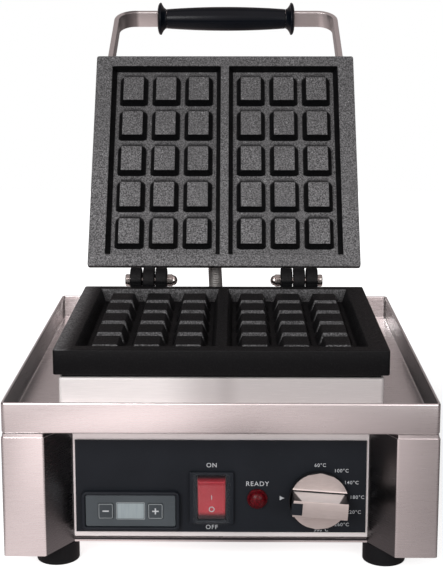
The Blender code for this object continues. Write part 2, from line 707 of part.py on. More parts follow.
def control_fascia(frame):
    """Black fascia plate in front of the steel panel."""
    plate = box("control_fascia", (-FASCIA_HALF_WIDTH, FASCIA_HALF_WIDTH),
                (FASCIA_FRONT, PANEL_SETBACK - GAP), (FASCIA_BOTTOM, FASCIA_TOP), BLACK_PLASTIC, frame)
    return carve(plate, *control_holes("fascia", frame))


def bottom_plate(frame):
    """Bottom sheet with a front lip, foot and screw holes and a field of vents."""
    inset = SHEET + 2 * GAP
    inner = offset_path(side_path(1), inset)[:3]
    behind = TRAY_DEPTH - UPSTAND_OFFSET - 2 * SHEET - 2 * GAP
    half = PANEL_HALF_WIDTH - GAP
    right = [(half, PANEL_SETBACK), (half, PANEL_SETBACK + inset), *inner, (HALF_WIDTH - inset, behind)]
    outline = right + [(-x, y) for x, y in right[::-1]]
    top = SHELL_BOTTOM + SHEET
    plate = prism("bottom_plate", outline, SHELL_BOTTOM, top, STEEL, frame)
    lip = box("bottom_lip", (-half, half), (PANEL_SETBACK, PANEL_SETBACK + SHEET),
              (SHELL_BOTTOM + SHEET / 2, LIP_TOP), None, frame)
    fuse(plate, lip)
    shells = []
    for column in range(-(VENT_COUNT // 2), VENT_COUNT // 2 + 1):
        slot = rounded_rectangle(VENT_WIDTH, VENT_HEIGHT, VENT_WIDTH / 2 - GAP / 2,
                                 (column * VENT_PITCH, TRAY_DEPTH / 2), SMALL_CORNER_STEPS)
        shells.append([level_ring(slot, SHELL_BOTTOM - OVERRUN), level_ring(slot, top + OVERRUN)])
    carve(plate, loft("bottom_vents", shells, None, frame))
    for index, (x, y) in enumerate(foot_places()):
        radius = FOOT_SCREW_RADIUS + GAP
        carve(plate, turned(f"foot_screw_hole_{index}",
                            [(radius, SHELL_BOTTOM - OVERRUN), (radius, top + OVERRUN)], "Z", None,
                            frame, (x, y, 0), SCREW_SIDES))
    for index, x in enumerate(front_screw_places()):
        carve(plate, screw_hole(f"front_screw_bottom_hole_{index}", x, SHELL_BOTTOM, frame))
    return plate


def rear_panel(frame):
    """Rear sheet with vent slots and the gland's hole."""
    outer = TRAY_DEPTH - UPSTAND_OFFSET - SHEET - GAP
    inner = outer - SHEET
    half = HALF_WIDTH - UPSTAND_OFFSET - SHEET - GAP
    bottom = SHELL_BOTTOM + SHEET + REAR_PANEL_BOTTOM_GAP
    panel = box("rear_panel", (-half, half), (inner, outer), (bottom, TRAY_UNDERSIDE - GAP), STEEL, frame)
    shells = []
    for column in range(-(VENT_COUNT // 2), VENT_COUNT // 2 + 1):
        slot = rounded_rectangle(VENT_WIDTH, VENT_HEIGHT, VENT_WIDTH / 2 - GAP / 2,
                                 (column * VENT_PITCH, SHELL_BOTTOM + VENT_RAISE), SMALL_CORNER_STEPS)
        shells.append([[(x, inner - OVERRUN, z) for x, z in slot],
                       [(x, outer + OVERRUN, z) for x, z in slot]])
    radius = GLAND_RADIUS + GAP
    hole = turned("gland_hole", [(radius, inner - OVERRUN), (radius, outer + OVERRUN)], "Y", None, frame,
                  (GLAND_X, 0, GLAND_Z))
    return carve(panel, loft("rear_vents", shells, None, frame), hole)


def cord_gland(frame):
    """Gland where the mains cord enters the rear panel."""
    outer = TRAY_DEPTH - UPSTAND_OFFSET - SHEET
    profile = [(GLAND_BORE_RADIUS, outer - GLAND_BODY_LENGTH), (GLAND_RADIUS, outer - GLAND_BODY_LENGTH),
               (GLAND_RADIUS, outer), (GLAND_FLANGE_RADIUS, outer),
               (GLAND_FLANGE_RADIUS, outer + GLAND_FLANGE_LENGTH / 2),
               (GLAND_RADIUS, outer + GLAND_FLANGE_LENGTH),
               (GLAND_BORE_RADIUS, outer + GLAND_FLANGE_LENGTH)]
    return turned("cord_gland", profile, "Y", RUBBER, frame, (GLAND_X, 0, GLAND_Z), ring_shaped=True)


def terminal_block(frame):
    """Mains terminal block on the bottom plate."""
    low = SHELL_BOTTOM + SHEET + GAP
    back = TRAY_DEPTH - UPSTAND_OFFSET - 2 * SHEET - GAP - TERMINAL_BACK_CLEARANCE
    return box("terminal_block", (TERMINAL_X - TERMINAL_WIDTH / 2, TERMINAL_X + TERMINAL_WIDTH / 2),
               (back - TERMINAL_DEPTH, back), (low, low + TERMINAL_HEIGHT), CLEAR_PLASTIC, frame)


def foot_places():
    """Plan positions of the four feet."""
    side = LEG_INNER - FOOT_CHEEK_OVERLAP
    back = TRAY_DEPTH - FOOT_FRONT_SETBACK
    return [(-side, FOOT_FRONT_SETBACK), (side, FOOT_FRONT_SETBACK), (-side, back), (side, back)]


def feet(frame):
    """Four rubber feet, each held by a screw in its recess."""
    names = ("front_left", "front_right", "rear_left", "rear_right")
    top = SHELL_BOTTOM - GAP
    hole = FOOT_SCREW_RADIUS + GAP
    for name, (x, y) in zip(names, foot_places()):
        profile = [(FOOT_RECESS_RADIUS, 0), (FOOT_RADIUS - FOOT_TAPER - FOOT_EDGE / 2, 0),
                   (FOOT_RADIUS - FOOT_TAPER, FOOT_EDGE / 2), (FOOT_RADIUS, top - FOOT_EDGE),
                   (FOOT_RADIUS - FOOT_EDGE / 2, top), (hole, top), (hole, FOOT_RECESS_DEPTH),
                   (FOOT_RECESS_RADIUS, FOOT_RECESS_DEPTH)]
        turned("foot_" + name, profile, "Z", RUBBER, frame, (x, y, 0), ring_shaped=True)
        seat = FOOT_RECESS_DEPTH - GAP
        screw = [(FOOT_SCREW_HEAD_RADIUS, seat - FOOT_SCREW_HEAD_HEIGHT), (FOOT_SCREW_HEAD_RADIUS, seat),
                 (FOOT_SCREW_RADIUS, seat), (FOOT_SCREW_RADIUS, SHELL_BOTTOM + FOOT_SCREW_RISE)]
        turned("foot_screw_" + name, screw, "Z", STEEL, frame, (x, y, 0), SCREW_SIDES)


def front_screws(frame):
    """Three screws that hold the bottom plate to the front panel."""
    names = ("left", "middle", "right")
    seat = SHELL_BOTTOM - GAP
    y = PANEL_SETBACK + SHEET + FRONT_SCREW_SETBACK
    for name, x in zip(names, front_screw_places()):
        profile = [(FRONT_SCREW_HEAD_RADIUS / 2, seat - FRONT_SCREW_HEAD_HEIGHT),
                   (FRONT_SCREW_HEAD_RADIUS, seat - FRONT_SCREW_HEAD_HEIGHT / 2),
                   (FRONT_SCREW_HEAD_RADIUS, seat), (FRONT_SCREW_RADIUS, seat),
                   (FRONT_SCREW_RADIUS, seat + FRONT_SCREW_LENGTH)]
        turned("front_screw_" + name, profile, "Z", STEEL, frame, (x, y, 0), SCREW_SIDES)


def thermostat(frame):
    """Thermostat body with its bushing and shaft, and the bulb on its capillary."""
    back = PANEL_SETBACK + SHEET + GAP
    body = box("thermostat_body", (KNOB_X - THERMOSTAT_WIDTH / 2, KNOB_X + THERMOSTAT_WIDTH / 2),
               (back, back + THERMOSTAT_DEPTH),
               (KNOB_Z - THERMOSTAT_HEIGHT / 2, KNOB_Z + THERMOSTAT_HEIGHT / 2), DARK_STEEL, frame)
    stem = turned("thermostat_stem",
                  [(BUSHING_RADIUS, back + OVERRUN), (BUSHING_RADIUS, FASCIA_FRONT),
                   (SHAFT_RADIUS, FASCIA_FRONT), (SHAFT_RADIUS, FASCIA_FRONT - SHAFT_REACH)],
                  "Y", None, frame, (KNOB_X, 0, KNOB_Z), SCREW_SIDES)
    fuse(body, stem)
    level = PLATE_TOP - PLATE_THICKNESS - GAP - ELEMENT_RADIUS
    middle = back + THERMOSTAT_DEPTH / 2
    route = [(BULB_LANE_X, BULB_BACK, level), (BULB_LANE_X, CAPILLARY_DROP_Y, level),
             (BULB_LANE_X, CAPILLARY_DROP_Y, CAPILLARY_LEVEL), (KNOB_X, middle, CAPILLARY_LEVEL),
             (KNOB_X, middle, KNOB_Z + THERMOSTAT_HEIGHT / 2 + GAP)]
    path = [Vector((BULB_LANE_X, BULB_FRONT, level)), *filleted(route, CAPILLARY_BEND)]
    thin = CAPILLARY_RADIUS / BULB_RADIUS
    neck = Vector((BULB_LANE_X, BULB_BACK + BULB_RADIUS, level))
    path.insert(2, neck)
    shares = [1.0, 1.0] + [thin] * (len(path) - 2)
    tube("thermostat_bulb", path, BULB_RADIUS, STEEL, frame, shares)


def thermostat_knob(frame):
    """Knob with its grip bar and pointer, built about the thermostat's shaft."""
    axis = empty("knob_axis", (KNOB_X, FASCIA_FRONT, KNOB_Z), frame)
    disc_back = -KNOB_RUNNING_GAP
    disc_front = disc_back - KNOB_DISC
    bar_front = disc_front - KNOB_BAR_LENGTH
    knob = turned("thermostat_knob",
                  [(KNOB_RADIUS - KNOB_EDGE, disc_back), (KNOB_RADIUS, disc_back - KNOB_EDGE),
                   (KNOB_RADIUS, disc_front + KNOB_EDGE), (KNOB_RADIUS - KNOB_EDGE, disc_front)],
                  "Y", SATIN_METAL, axis)
    half_angle = math.asin(KNOB_BAR_HEIGHT / 2 / KNOB_RADIUS)
    reach = KNOB_RADIUS - KNOB_EDGE / 2
    outline = []
    for turn in (0, math.pi):
        for step in range(-CORNER_STEPS, CORNER_STEPS + 1):
            angle = turn + half_angle * step / CORNER_STEPS
            outline.append((reach * math.cos(angle), reach * math.sin(angle)))
    bar = prism("knob_bar", outline, bar_front, disc_front + OVERRUN, None, axis, "Y")
    notch = box("knob_notch", (-KNOB_RADIUS - OVERRUN, POINTER_LENGTH - KNOB_RADIUS + GAP),
                (bar_front - OVERRUN, bar_front + POINTER_DEPTH + GAP),
                (-POINTER_HEIGHT / 2 - GAP, POINTER_HEIGHT / 2 + GAP), None, axis)
    bore = turned("knob_bore", [(SHAFT_RADIUS + GAP, disc_back + OVERRUN),
                                (SHAFT_RADIUS + GAP, -KNOB_BORE_DEPTH)], "Y", None, axis,
                  sides=SCREW_SIDES)
    fuse(knob, bar)
    carve(knob, notch, bore)
    box("knob_pointer", (-KNOB_RADIUS, POINTER_LENGTH - KNOB_RADIUS),
        (bar_front, bar_front + POINTER_DEPTH), (-POINTER_HEIGHT / 2, POINTER_HEIGHT / 2),
        BLACK_PLASTIC, axis)


def power_switch(frame):
    """Switch frame, its red rocker on an axle, and the clear cover over it."""
    centre = (SWITCH_X, SWITCH_Z)
    face = FASCIA_FRONT - GAP - SWITCH_BEZEL_DEPTH
    bezel = prism("switch_frame", rounded_rectangle(SWITCH_BEZEL_WIDTH, SWITCH_BEZEL_HEIGHT,
                                                    OVERRUN, centre),
                  face, FASCIA_FRONT - GAP, BLACK_PLASTIC, frame, "Y")
    body = prism("switch_body", rounded_rectangle(SWITCH_BODY_WIDTH, SWITCH_BODY_HEIGHT, OVERRUN, centre),
                 face + SHEET, face + SWITCH_BODY_DEPTH, None, frame, "Y")
    mouth = prism("switch_mouth", rounded_rectangle(SWITCH_MOUTH_WIDTH, SWITCH_MOUTH_HEIGHT,
                                                    ROCKER_AXLE_RADIUS, centre),
                  face - OVERRUN, face + SWITCH_MOUTH_DEPTH, None, frame, "Y")
    axis_point = (SWITCH_X, face + ROCKER_PIVOT_DEPTH, SWITCH_Z)
    reach = ROCKER_WIDTH / 2 + ROCKER_AXLE_LENGTH
    socket = turned("switch_axle_hole", [(ROCKER_AXLE_RADIUS + GAP, -reach - GAP),
                                         (ROCKER_AXLE_RADIUS + GAP, reach + GAP)], "X", None, frame,
                    axis_point, SCREW_SIDES)
    fuse(bezel, body)
    carve(bezel, mouth, socket)
    axis = empty("rocker_axis", axis_point, frame)
    top = ROCKER_HEIGHT / 2
    profile = [(-ROCKER_TIP_REACH, top), (-ROCKER_CENTRE_REACH, 0), (-ROCKER_TIP_REACH, -top),
               (ROCKER_BACK_REACH, -top), (ROCKER_BACK_REACH, top)]
    cosine, sine = math.cos(ROCKER_TILT), math.sin(ROCKER_TILT)
    tilted = [(y * cosine - z * sine, y * sine + z * cosine) for y, z in profile]
    rocker = prism("switch_rocker", tilted, -ROCKER_WIDTH / 2, ROCKER_WIDTH / 2, RED_PLASTIC, axis, "X")
    axle = turned("rocker_axle", [(ROCKER_AXLE_RADIUS, -reach), (ROCKER_AXLE_RADIUS, reach)], "X", None,
                  axis, sides=SCREW_SIDES)
    fuse(rocker, axle)
    seat = face - GAP

    def cover_ring(inset, level):
        outline = rounded_rectangle(SWITCH_COVER_WIDTH - 2 * inset, SWITCH_COVER_HEIGHT - 2 * inset,
                                    OVERRUN, centre)
        return [(x, level, z) for x, z in outline]

    shoulder = seat - SWITCH_COVER_RISE + SWITCH_COVER_SLOPE
    rings = [cover_ring(SWITCH_COVER_WALL + SWITCH_COVER_SLOPE,
                        seat - SWITCH_COVER_RISE + SWITCH_COVER_WALL),
             cover_ring(SWITCH_COVER_WALL, shoulder), cover_ring(SWITCH_COVER_WALL, seat),
             cover_ring(0, seat), cover_ring(0, shoulder),
             cover_ring(SWITCH_COVER_SLOPE, seat - SWITCH_COVER_RISE)]
    loft("switch_cover", [rings], CLEAR_PLASTIC, frame)


def ready_lamp(frame):
    """Red lamp lens on the fascia and the lamp holder behind it."""
    seat = FASCIA_FRONT - GAP
    profile = [(LAMP_RADIUS * across, seat - LAMP_RISE * out) for across, out in LAMP_PROFILE_SHARES]
    turned("lamp_lens", profile, "Y", RED_PLASTIC, frame, (LAMP_X, 0, LAMP_Z))
    turned("lamp_body", [(LAMP_BODY_RADIUS, FASCIA_FRONT),
                         (LAMP_BODY_RADIUS, FASCIA_FRONT + LAMP_BODY_LENGTH)],
           "Y", BLACK_PLASTIC, frame, (LAMP_X, 0, LAMP_Z))


def timer(frame):
    """Timer module: bezel, window, display, two press buttons and the housing behind."""
    seat = FASCIA_FRONT - GAP
    centre = (TIMER_X, TIMER_Z)
    bezel = prism("timer_bezel", rounded_rectangle(TIMER_WIDTH, TIMER_HEIGHT, TIMER_CORNER_RADIUS, centre),
                  seat - TIMER_RISE, seat, BLACK_PLASTIC, frame, "Y")
    carve(bezel, prism("timer_bezel_hole",
                       rounded_rectangle(TIMER_WINDOW_WIDTH + 2 * GAP, TIMER_WINDOW_HEIGHT + 2 * GAP,
                                         OVERRUN, centre),
                       seat - TIMER_RISE - OVERRUN, seat + OVERRUN, None, frame, "Y"))
    window_front = seat - TIMER_WINDOW_THICKNESS
    window = prism("timer_window", rounded_rectangle(TIMER_WINDOW_WIDTH, TIMER_WINDOW_HEIGHT,
                                                     OVERRUN, centre),
                   window_front, seat, GREY_PLASTIC, frame, "Y")
    display_half = TIMER_LCD_WIDTH / 2
    lcd_half_height = TIMER_LCD_HEIGHT / 2
    carve(window, box("timer_lcd_hole",
                      (TIMER_X - display_half - GAP, TIMER_X + display_half + GAP),
                      (window_front - OVERRUN, seat + OVERRUN),
                      (TIMER_Z - lcd_half_height - GAP, TIMER_Z + lcd_half_height + GAP), None, frame))
    box("timer_lcd", (TIMER_X - display_half, TIMER_X + display_half),
        (window_front + TIMER_LCD_INSET, seat + GAP),
        (TIMER_Z - lcd_half_height, TIMER_Z + lcd_half_height), LCD_GREEN, frame)
    half_width = TIMER_BUTTON_WIDTH / 2
    half_height = TIMER_BUTTON_HEIGHT / 2
    for name, side in (("minus", -1), ("plus", 1)):
        x = TIMER_X + side * TIMER_BUTTON_OFFSET
        carve(window, box(f"timer_{name}_hole", (x - half_width - GAP, x + half_width + GAP),
                          (window_front - OVERRUN, seat + OVERRUN),
                          (TIMER_Z - half_height - GAP, TIMER_Z + half_height + GAP), None, frame))
        axis = empty(f"timer_{name}_axis", (x, seat + GAP, TIMER_Z), frame)
        flange_width = half_width + TIMER_BUTTON_FLANGE
        flange_height = half_height + TIMER_BUTTON_FLANGE
        button = box(f"timer_{name}_button", (-half_width, half_width),
                     (-GAP - TIMER_WINDOW_THICKNESS - TIMER_BUTTON_RISE,
                      TIMER_BUTTON_FLANGE_THICKNESS / 2),
                     (-half_height, half_height), GREY_PLASTIC, axis)
        flange = box(f"timer_{name}_flange", (-flange_width, flange_width),
                     (0, TIMER_BUTTON_FLANGE_THICKNESS), (-flange_height, flange_height), None, axis)
        fuse(button, flange)
    body_front = seat + 2 * GAP + TIMER_BUTTON_FLANGE_THICKNESS + TIMER_BUTTON_TRAVEL
    prism("timer_body", rounded_rectangle(TIMER_BODY_WIDTH, TIMER_BODY_HEIGHT, OVERRUN, centre),
          body_front, body_front + TIMER_BODY_DEPTH, BLACK_PLASTIC, frame, "Y")


def tapered(centre, width, length, drafts, radius, low, high, steps, low_extra=0):
    """Two rings of a block that narrows by its side and end drafts from low to high.

    The extra carries the block below its start along the same drafts, so that it overlaps its neighbour.
    """
    rings = []
    for level in (low - low_extra, high):
        share = 2 * (level - low) / (high - low)
        outline = rounded_rectangle(width - share * drafts[0], length - share * drafts[1], radius,
                                    centre, steps)
        rings.append((outline, level))
    return rings


def plate(name, frame, side, look):
    """A waffle plate with two pockets; side is -1 for the lower plate and 1 for the upper one.

    The frame lies at the front edge on the parting face, and depth is measured away from that face.
    """
    def ring(outline, depth):
        return level_ring(outline, side * depth)

    centre = (0, PLATE_LENGTH / 2)

    def outline(inset):
        return rounded_rectangle(PLATE_WIDTH - 2 * inset, PLATE_LENGTH - 2 * inset,
                                 PLATE_CORNER_RADIUS, centre)

    rings = [ring(outline(PLATE_RIM_CHAMFER), 0), ring(outline(0), PLATE_RIM_CHAMFER),
             ring(outline(0), PLATE_EDGE), ring(outline(PLATE_STEP_INSET), PLATE_EDGE),
             ring(outline(PLATE_STEP_INSET), PLATE_THICKNESS)]
    casting = loft(name, [rings], look, frame)
    pockets = []
    blocks = []
    for pocket in (-1, 1):
        x = pocket * (POCKET_WEB + POCKET_WIDTH) / 2
        cavity = tapered((x, PLATE_LENGTH / 2), POCKET_WIDTH, POCKET_LENGTH,
                         (POCKET_SIDE_DRAFT, POCKET_END_DRAFT), POCKET_RADIUS, 0, POCKET_DEPTH,
                         CORNER_STEPS, OVERRUN)
        pockets.append([ring(points, depth) for points, depth in cavity])
        for column in range(BLOCK_COLUMNS):
            for row in range(BLOCK_ROWS):
                block_x = x + (column - (BLOCK_COLUMNS - 1) / 2) * BLOCK_PITCH_X
                block_y = PLATE_LENGTH / 2 + (row - (BLOCK_ROWS - 1) / 2) * BLOCK_PITCH_Y
                block = tapered((block_x, block_y), BLOCK_WIDTH, BLOCK_LENGTH,
                                (BLOCK_SIDE_DRAFT, BLOCK_END_DRAFT), PLATE_RIM_CHAMFER, 0,
                                BLOCK_HEIGHT, 1, OVERRUN)
                blocks.append([ring(points, POCKET_DEPTH - height) for points, height in block])
    carve(casting, loft(name + "_pockets", pockets, None, frame))
    fuse(casting, loft(name + "_blocks", blocks, None, frame))
    return casting


def knuckle_outline(root_low, root_high):
    """Side view of a hinge ear about the axis, with a root that runs forward into its plate."""
    root = -HINGE_SETBACK - OVERRUN
    outline = [(root, root_low), (root, root_high)]
    start = math.pi - math.asin(min(root_high / KNUCKLE_RADIUS, 1.0))
    end = -math.pi + math.asin(min(-root_low / KNUCKLE_RADIUS, 1.0))
    steps = ROUND_SIDES * 3 // 4
    for step in range(steps + 1):
        angle = start + (end - start) * step / steps
        outline.append((KNUCKLE_RADIUS * math.cos(angle), KNUCKLE_RADIUS * math.sin(angle)))
    return outline


def hinge_bore(name, x, frame, centre):
    """Clearance hole for a hinge bolt through all ears at one hinge."""
    half = KNUCKLE_WIDTH / 2 + EAR_GAP + EAR_WIDTH + OVERRUN
    radius = HINGE_BOLT_RADIUS + GAP
    return turned(name, [(radius, x - half), (radius, x + half)], "X", None, frame, centre, SCREW_SIDES)


def lower_plate(frame):
    """Lower plate with two outer ears at each hinge."""
    carrier = empty("lower_plate_frame", (0, PLATE_SETBACK, PLATE_TOP), frame)
    casting = plate("lower_plate", carrier, -1, CAST_IRON)
    axis = empty("lower_hinge_axis", (0, PLATE_LENGTH + HINGE_SETBACK, HINGE_RISE), carrier)
    low, high = -HINGE_RISE - EAR_ROOT_BOTTOM, -HINGE_RISE - EAR_ROOT_TOP
    outline = knuckle_outline(low, high)
    inner = KNUCKLE_WIDTH / 2 + EAR_GAP
    for label, hinge in (("left", -1), ("right", 1)):
        for place, side in (("outer", hinge), ("inner", -hinge)):
            start = hinge * HINGE_SPREAD + side * inner
            end = start + side * EAR_WIDTH
            ear = prism(f"lower_ear_{label}_{place}", outline, min(start, end), max(start, end), None,
                        axis, "X")
            fuse(casting, ear)
        carve(casting, hinge_bore(f"lower_bore_{label}", hinge * HINGE_SPREAD, axis, (0, 0, 0)))
    return casting


def upper_plate(lid):
    """Upper plate with one knuckle at each hinge and a thin rear rim that clears the tray."""
    carrier = empty("upper_plate_frame", (0, LID_FRONT, LID_PARTING), lid)
    casting = plate("upper_plate", carrier, 1, WORN_IRON)
    back = PLATE_LENGTH + OVERRUN
    slope = REAR_RELIEF_DEPTH / (PLATE_THICKNESS - REAR_RIM_THICKNESS)
    wedge = [(back, REAR_RIM_THICKNESS - OVERRUN / slope), (back, PLATE_THICKNESS + OVERRUN),
             (PLATE_LENGTH - REAR_RELIEF_DEPTH - OVERRUN * slope, PLATE_THICKNESS + OVERRUN)]
    relief = prism("upper_rear_relief", wedge, -PLATE_WIDTH, PLATE_WIDTH, None, carrier, "X")
    carve(casting, relief)
    low = LID_PARTING + EAR_ROOT_TOP
    outline = knuckle_outline(low, low + REAR_RIM_THICKNESS)
    for label, hinge in (("left", -1), ("right", 1)):
        middle = hinge * HINGE_SPREAD
        ear = prism(f"upper_knuckle_{label}", outline, middle - KNUCKLE_WIDTH / 2,
                    middle + KNUCKLE_WIDTH / 2, None, lid, "X")
        fuse(casting, ear)
        carve(casting, hinge_bore(f"upper_bore_{label}", middle, lid, (0, 0, 0)))
    return casting


def hinge_hardware(frame):
    """A hex bolt with an acorn nut at each hinge; the nuts face the middle."""
    half = KNUCKLE_WIDTH / 2 + EAR_GAP + EAR_WIDTH + GAP
    for label, side in (("left", -1), ("right", 1)):
        centre = (side * HINGE_SPREAD, HINGE_Y, HINGE_Z)
        bolt = turned("hinge_bolt_" + label,
                      [(HINGE_BOLT_RADIUS, -side * (half + HINGE_THREAD_REACH)),
                       (HINGE_BOLT_RADIUS, side * (half + SHEET))], "X", STEEL, frame, centre, SCREW_SIDES)
        head = turned("hinge_head_" + label,
                      [(HINGE_HEAD_RADIUS, side * half),
                       (HINGE_HEAD_RADIUS, side * (half + HINGE_HEAD_HEIGHT))], "X", None, frame, centre,
                      HEX_SIDES)
        fuse(bolt, head)
        hex_end = half + HINGE_NUT_HEIGHT * HINGE_NUT_HEX_SHARE
        nut = turned("hinge_nut_" + label,
                     [(HINGE_HEAD_RADIUS, -side * half), (HINGE_HEAD_RADIUS, -side * hex_end)], "X", STEEL,
                     frame, centre, HEX_SIDES)
        dome_rise = half + HINGE_NUT_HEIGHT - hex_end
        dome_radius = HINGE_HEAD_RADIUS * math.cos(math.pi / HEX_SIDES) - GAP
        angles = [math.tau / 4 * step / HINGE_DOME_STEPS for step in range(HINGE_DOME_STEPS)]
        dome = [(dome_radius, -side * (half + GAP))]
        dome += [(dome_radius * math.cos(a), -side * (hex_end + dome_rise * math.sin(a))) for a in angles]
        fuse(nut, turned("hinge_nut_dome_" + label, dome, "X", None, frame, centre, SCREW_SIDES))
        bore = [(HINGE_BOLT_RADIUS + GAP, -side * (half - OVERRUN)),
                (HINGE_BOLT_RADIUS + GAP, -side * (half + HINGE_THREAD_REACH + GAP))]
        carve(nut, turned("hinge_nut_bore_" + label, bore, "X", None, frame, centre, SCREW_SIDES))


def plate_box(frame):
    """Steel skirt that carries the lower plate on the tray floor."""
    low = TRAY_FLOOR + GAP
    high = PLATE_TOP - PLATE_THICKNESS - GAP

    def ring(inset, level):
        outline = rounded_rectangle(BOX_WIDTH - 2 * inset, BOX_LENGTH - 2 * inset, BOX_CORNER_RADIUS,
                                    (0, BOX_SETBACK + BOX_LENGTH / 2))
        return level_ring(outline, level)

    rings = [ring(0, low), ring(0, high), ring(BOX_FLANGE, high), ring(BOX_FLANGE, high - SHEET),
             ring(SHEET, high - SHEET), ring(SHEET, low)]
    return loft("plate_box", [rings], STEEL, frame, ring_shaped=True)


def element_route(front, level, leg, side):
    """Centre line of a heating element: two legs at the back and four runs under its plate.

    Front is the plate's front edge. The legs leave the plate by their length towards side.
    """
    near = front + ELEMENT_FRONT_MARGIN
    middle = front + PLATE_LENGTH - ELEMENT_MIDDLE_MARGIN
    far = front + PLATE_LENGTH - ELEMENT_BACK_MARGIN
    half = [(ELEMENT_LEG_X, far, level + side * leg), (ELEMENT_LEG_X, far, level),
            (ELEMENT_OUTER_LANE, far, level), (ELEMENT_OUTER_LANE, near, level),
            (ELEMENT_INNER_LANE, near, level), (ELEMENT_INNER_LANE, middle, level)]
    return filleted(half + [(-x, y, z) for x, y, z in half[::-1]], ELEMENT_BEND)


def heating(frame, lid):
    """Heating elements against the backs of both plates, with insulation behind them."""
    lower_level = PLATE_TOP - PLATE_THICKNESS - GAP - ELEMENT_RADIUS
    tube("lower_element", element_route(PLATE_SETBACK, lower_level, LOWER_ELEMENT_LEG, -1),
         ELEMENT_RADIUS, DARK_STEEL, frame)
    slab_front = PLATE_SETBACK + SLAB_FRONT_MARGIN
    slab_back = PLATE_BACK - SLAB_BACK_MARGIN
    box("lower_insulation", (-SLAB_HALF_WIDTH, SLAB_HALF_WIDTH), (slab_front, slab_back),
        (TRAY_FLOOR + GAP, lower_level - ELEMENT_RADIUS - GAP), INSULATION, frame)
    upper_level = LID_METAL_TOP + GAP + ELEMENT_RADIUS
    tube("upper_element", element_route(LID_FRONT, upper_level, UPPER_ELEMENT_LEG, 1),
         ELEMENT_RADIUS, DARK_STEEL, lid)
    slab_low = upper_level + ELEMENT_RADIUS + GAP
    box("upper_insulation", (-SLAB_HALF_WIDTH, SLAB_HALF_WIDTH),
        (LID_FRONT + SLAB_FRONT_MARGIN, -HINGE_SETBACK - SLAB_BACK_MARGIN),
        (slab_low, slab_low + UPPER_SLAB_THICKNESS), INSULATION, lid)


def lid_cover(lid):
    """Steel cover over the upper plate's back, with holes for the handle screws and the conduit."""
    middle = (COVER_FRONT + COVER_BACK) / 2

    def ring(inset, level):
        outline = rounded_rectangle(2 * (COVER_HALF_WIDTH - inset), COVER_BACK - COVER_FRONT - 2 * inset,
                                    COVER_CORNER_RADIUS, (0, middle))
        return level_ring(outline, level)

    shoulder = COVER_TOP - COVER_TOP_BEVEL
    rings = [ring(COVER_WALL + COVER_TOP_BEVEL, COVER_TOP - COVER_WALL), ring(COVER_WALL, shoulder),
             ring(COVER_WALL, COVER_BOTTOM), ring(0, COVER_BOTTOM), ring(0, shoulder),
             ring(COVER_TOP_BEVEL, COVER_TOP)]
    cover = loft("lid_cover", [rings], STEEL, lid)
    radius = HANDLE_SCREW_RADIUS + GAP
    for name, side, y in handle_screw_places():
        hole = turned("cover_hole_" + name, [(radius, side * (COVER_HALF_WIDTH - COVER_WALL - OVERRUN)),
                                             (radius, side * (COVER_HALF_WIDTH + OVERRUN))],
                      "X", None, lid, (0, y, ARM_LEVEL), SCREW_SIDES)
        carve(cover, hole)
    radius = CONDUIT_RADIUS + GAP
    hole = turned("cover_conduit_hole", [(radius, COVER_BACK - COVER_WALL - OVERRUN),
                                         (radius, COVER_BACK + OVERRUN)], "Y", None, lid,
                  (CONDUIT_LID_X, 0, conduit_lid_level()))
    return carve(cover, hole)


def handle_screw_places():
    """Names, sides and places along the cover of the four handle screws."""
    first = COVER_FRONT + HANDLE_SCREW_FIRST
    places = []
    for side_name, side in (("left", -1), ("right", 1)):
        places.append((side_name + "_front", side, first))
        places.append((side_name + "_rear", side, first + HANDLE_SCREW_PITCH))
    return places


def handle_stations():
    """Stations along the handle strip: a centre point, its thickness and its width direction."""
    forward = Vector((0, -math.cos(ARM_SLOPE), math.sin(ARM_SLOPE)))
    normal = Vector((0, math.sin(ARM_SLOPE), math.cos(ARM_SLOPE)))
    upright = Vector((0, 0, 1))
    arm_x = ARM_SPACING / 2
    bend_y = GRIP_Y + (GRIP_Z - ARM_LEVEL) / math.tan(ARM_SLOPE)
    mitre = (upright + normal).normalized() / math.cos(ARM_SLOPE / 2)
    across = Vector((1, 0, 0))
    stations = [(Vector((arm_x, COVER_FRONT + ARM_BACK_END, ARM_LEVEL)), across, upright),
                (Vector((arm_x, bend_y, ARM_LEVEL)), across, mitre)]
    grip = Vector((0, GRIP_Y, GRIP_Z))
    corner = grip + across * (arm_x - STRIP_CORNER_RADIUS) - forward * STRIP_CORNER_RADIUS
    for step in range(STRIP_CORNER_STEPS + 1):
        angle = math.tau / 4 * step / STRIP_CORNER_STEPS
        outward = across * math.cos(angle) + forward * math.sin(angle)
        stations.append((corner + outward * STRIP_CORNER_RADIUS, outward, normal))
    mirrored = []
    for point, outward, width in stations[::-1]:
        mirrored.append((Vector((-point.x, point.y, point.z)), Vector((-outward.x, outward.y, outward.z)),
                         width))
    return stations + mirrored


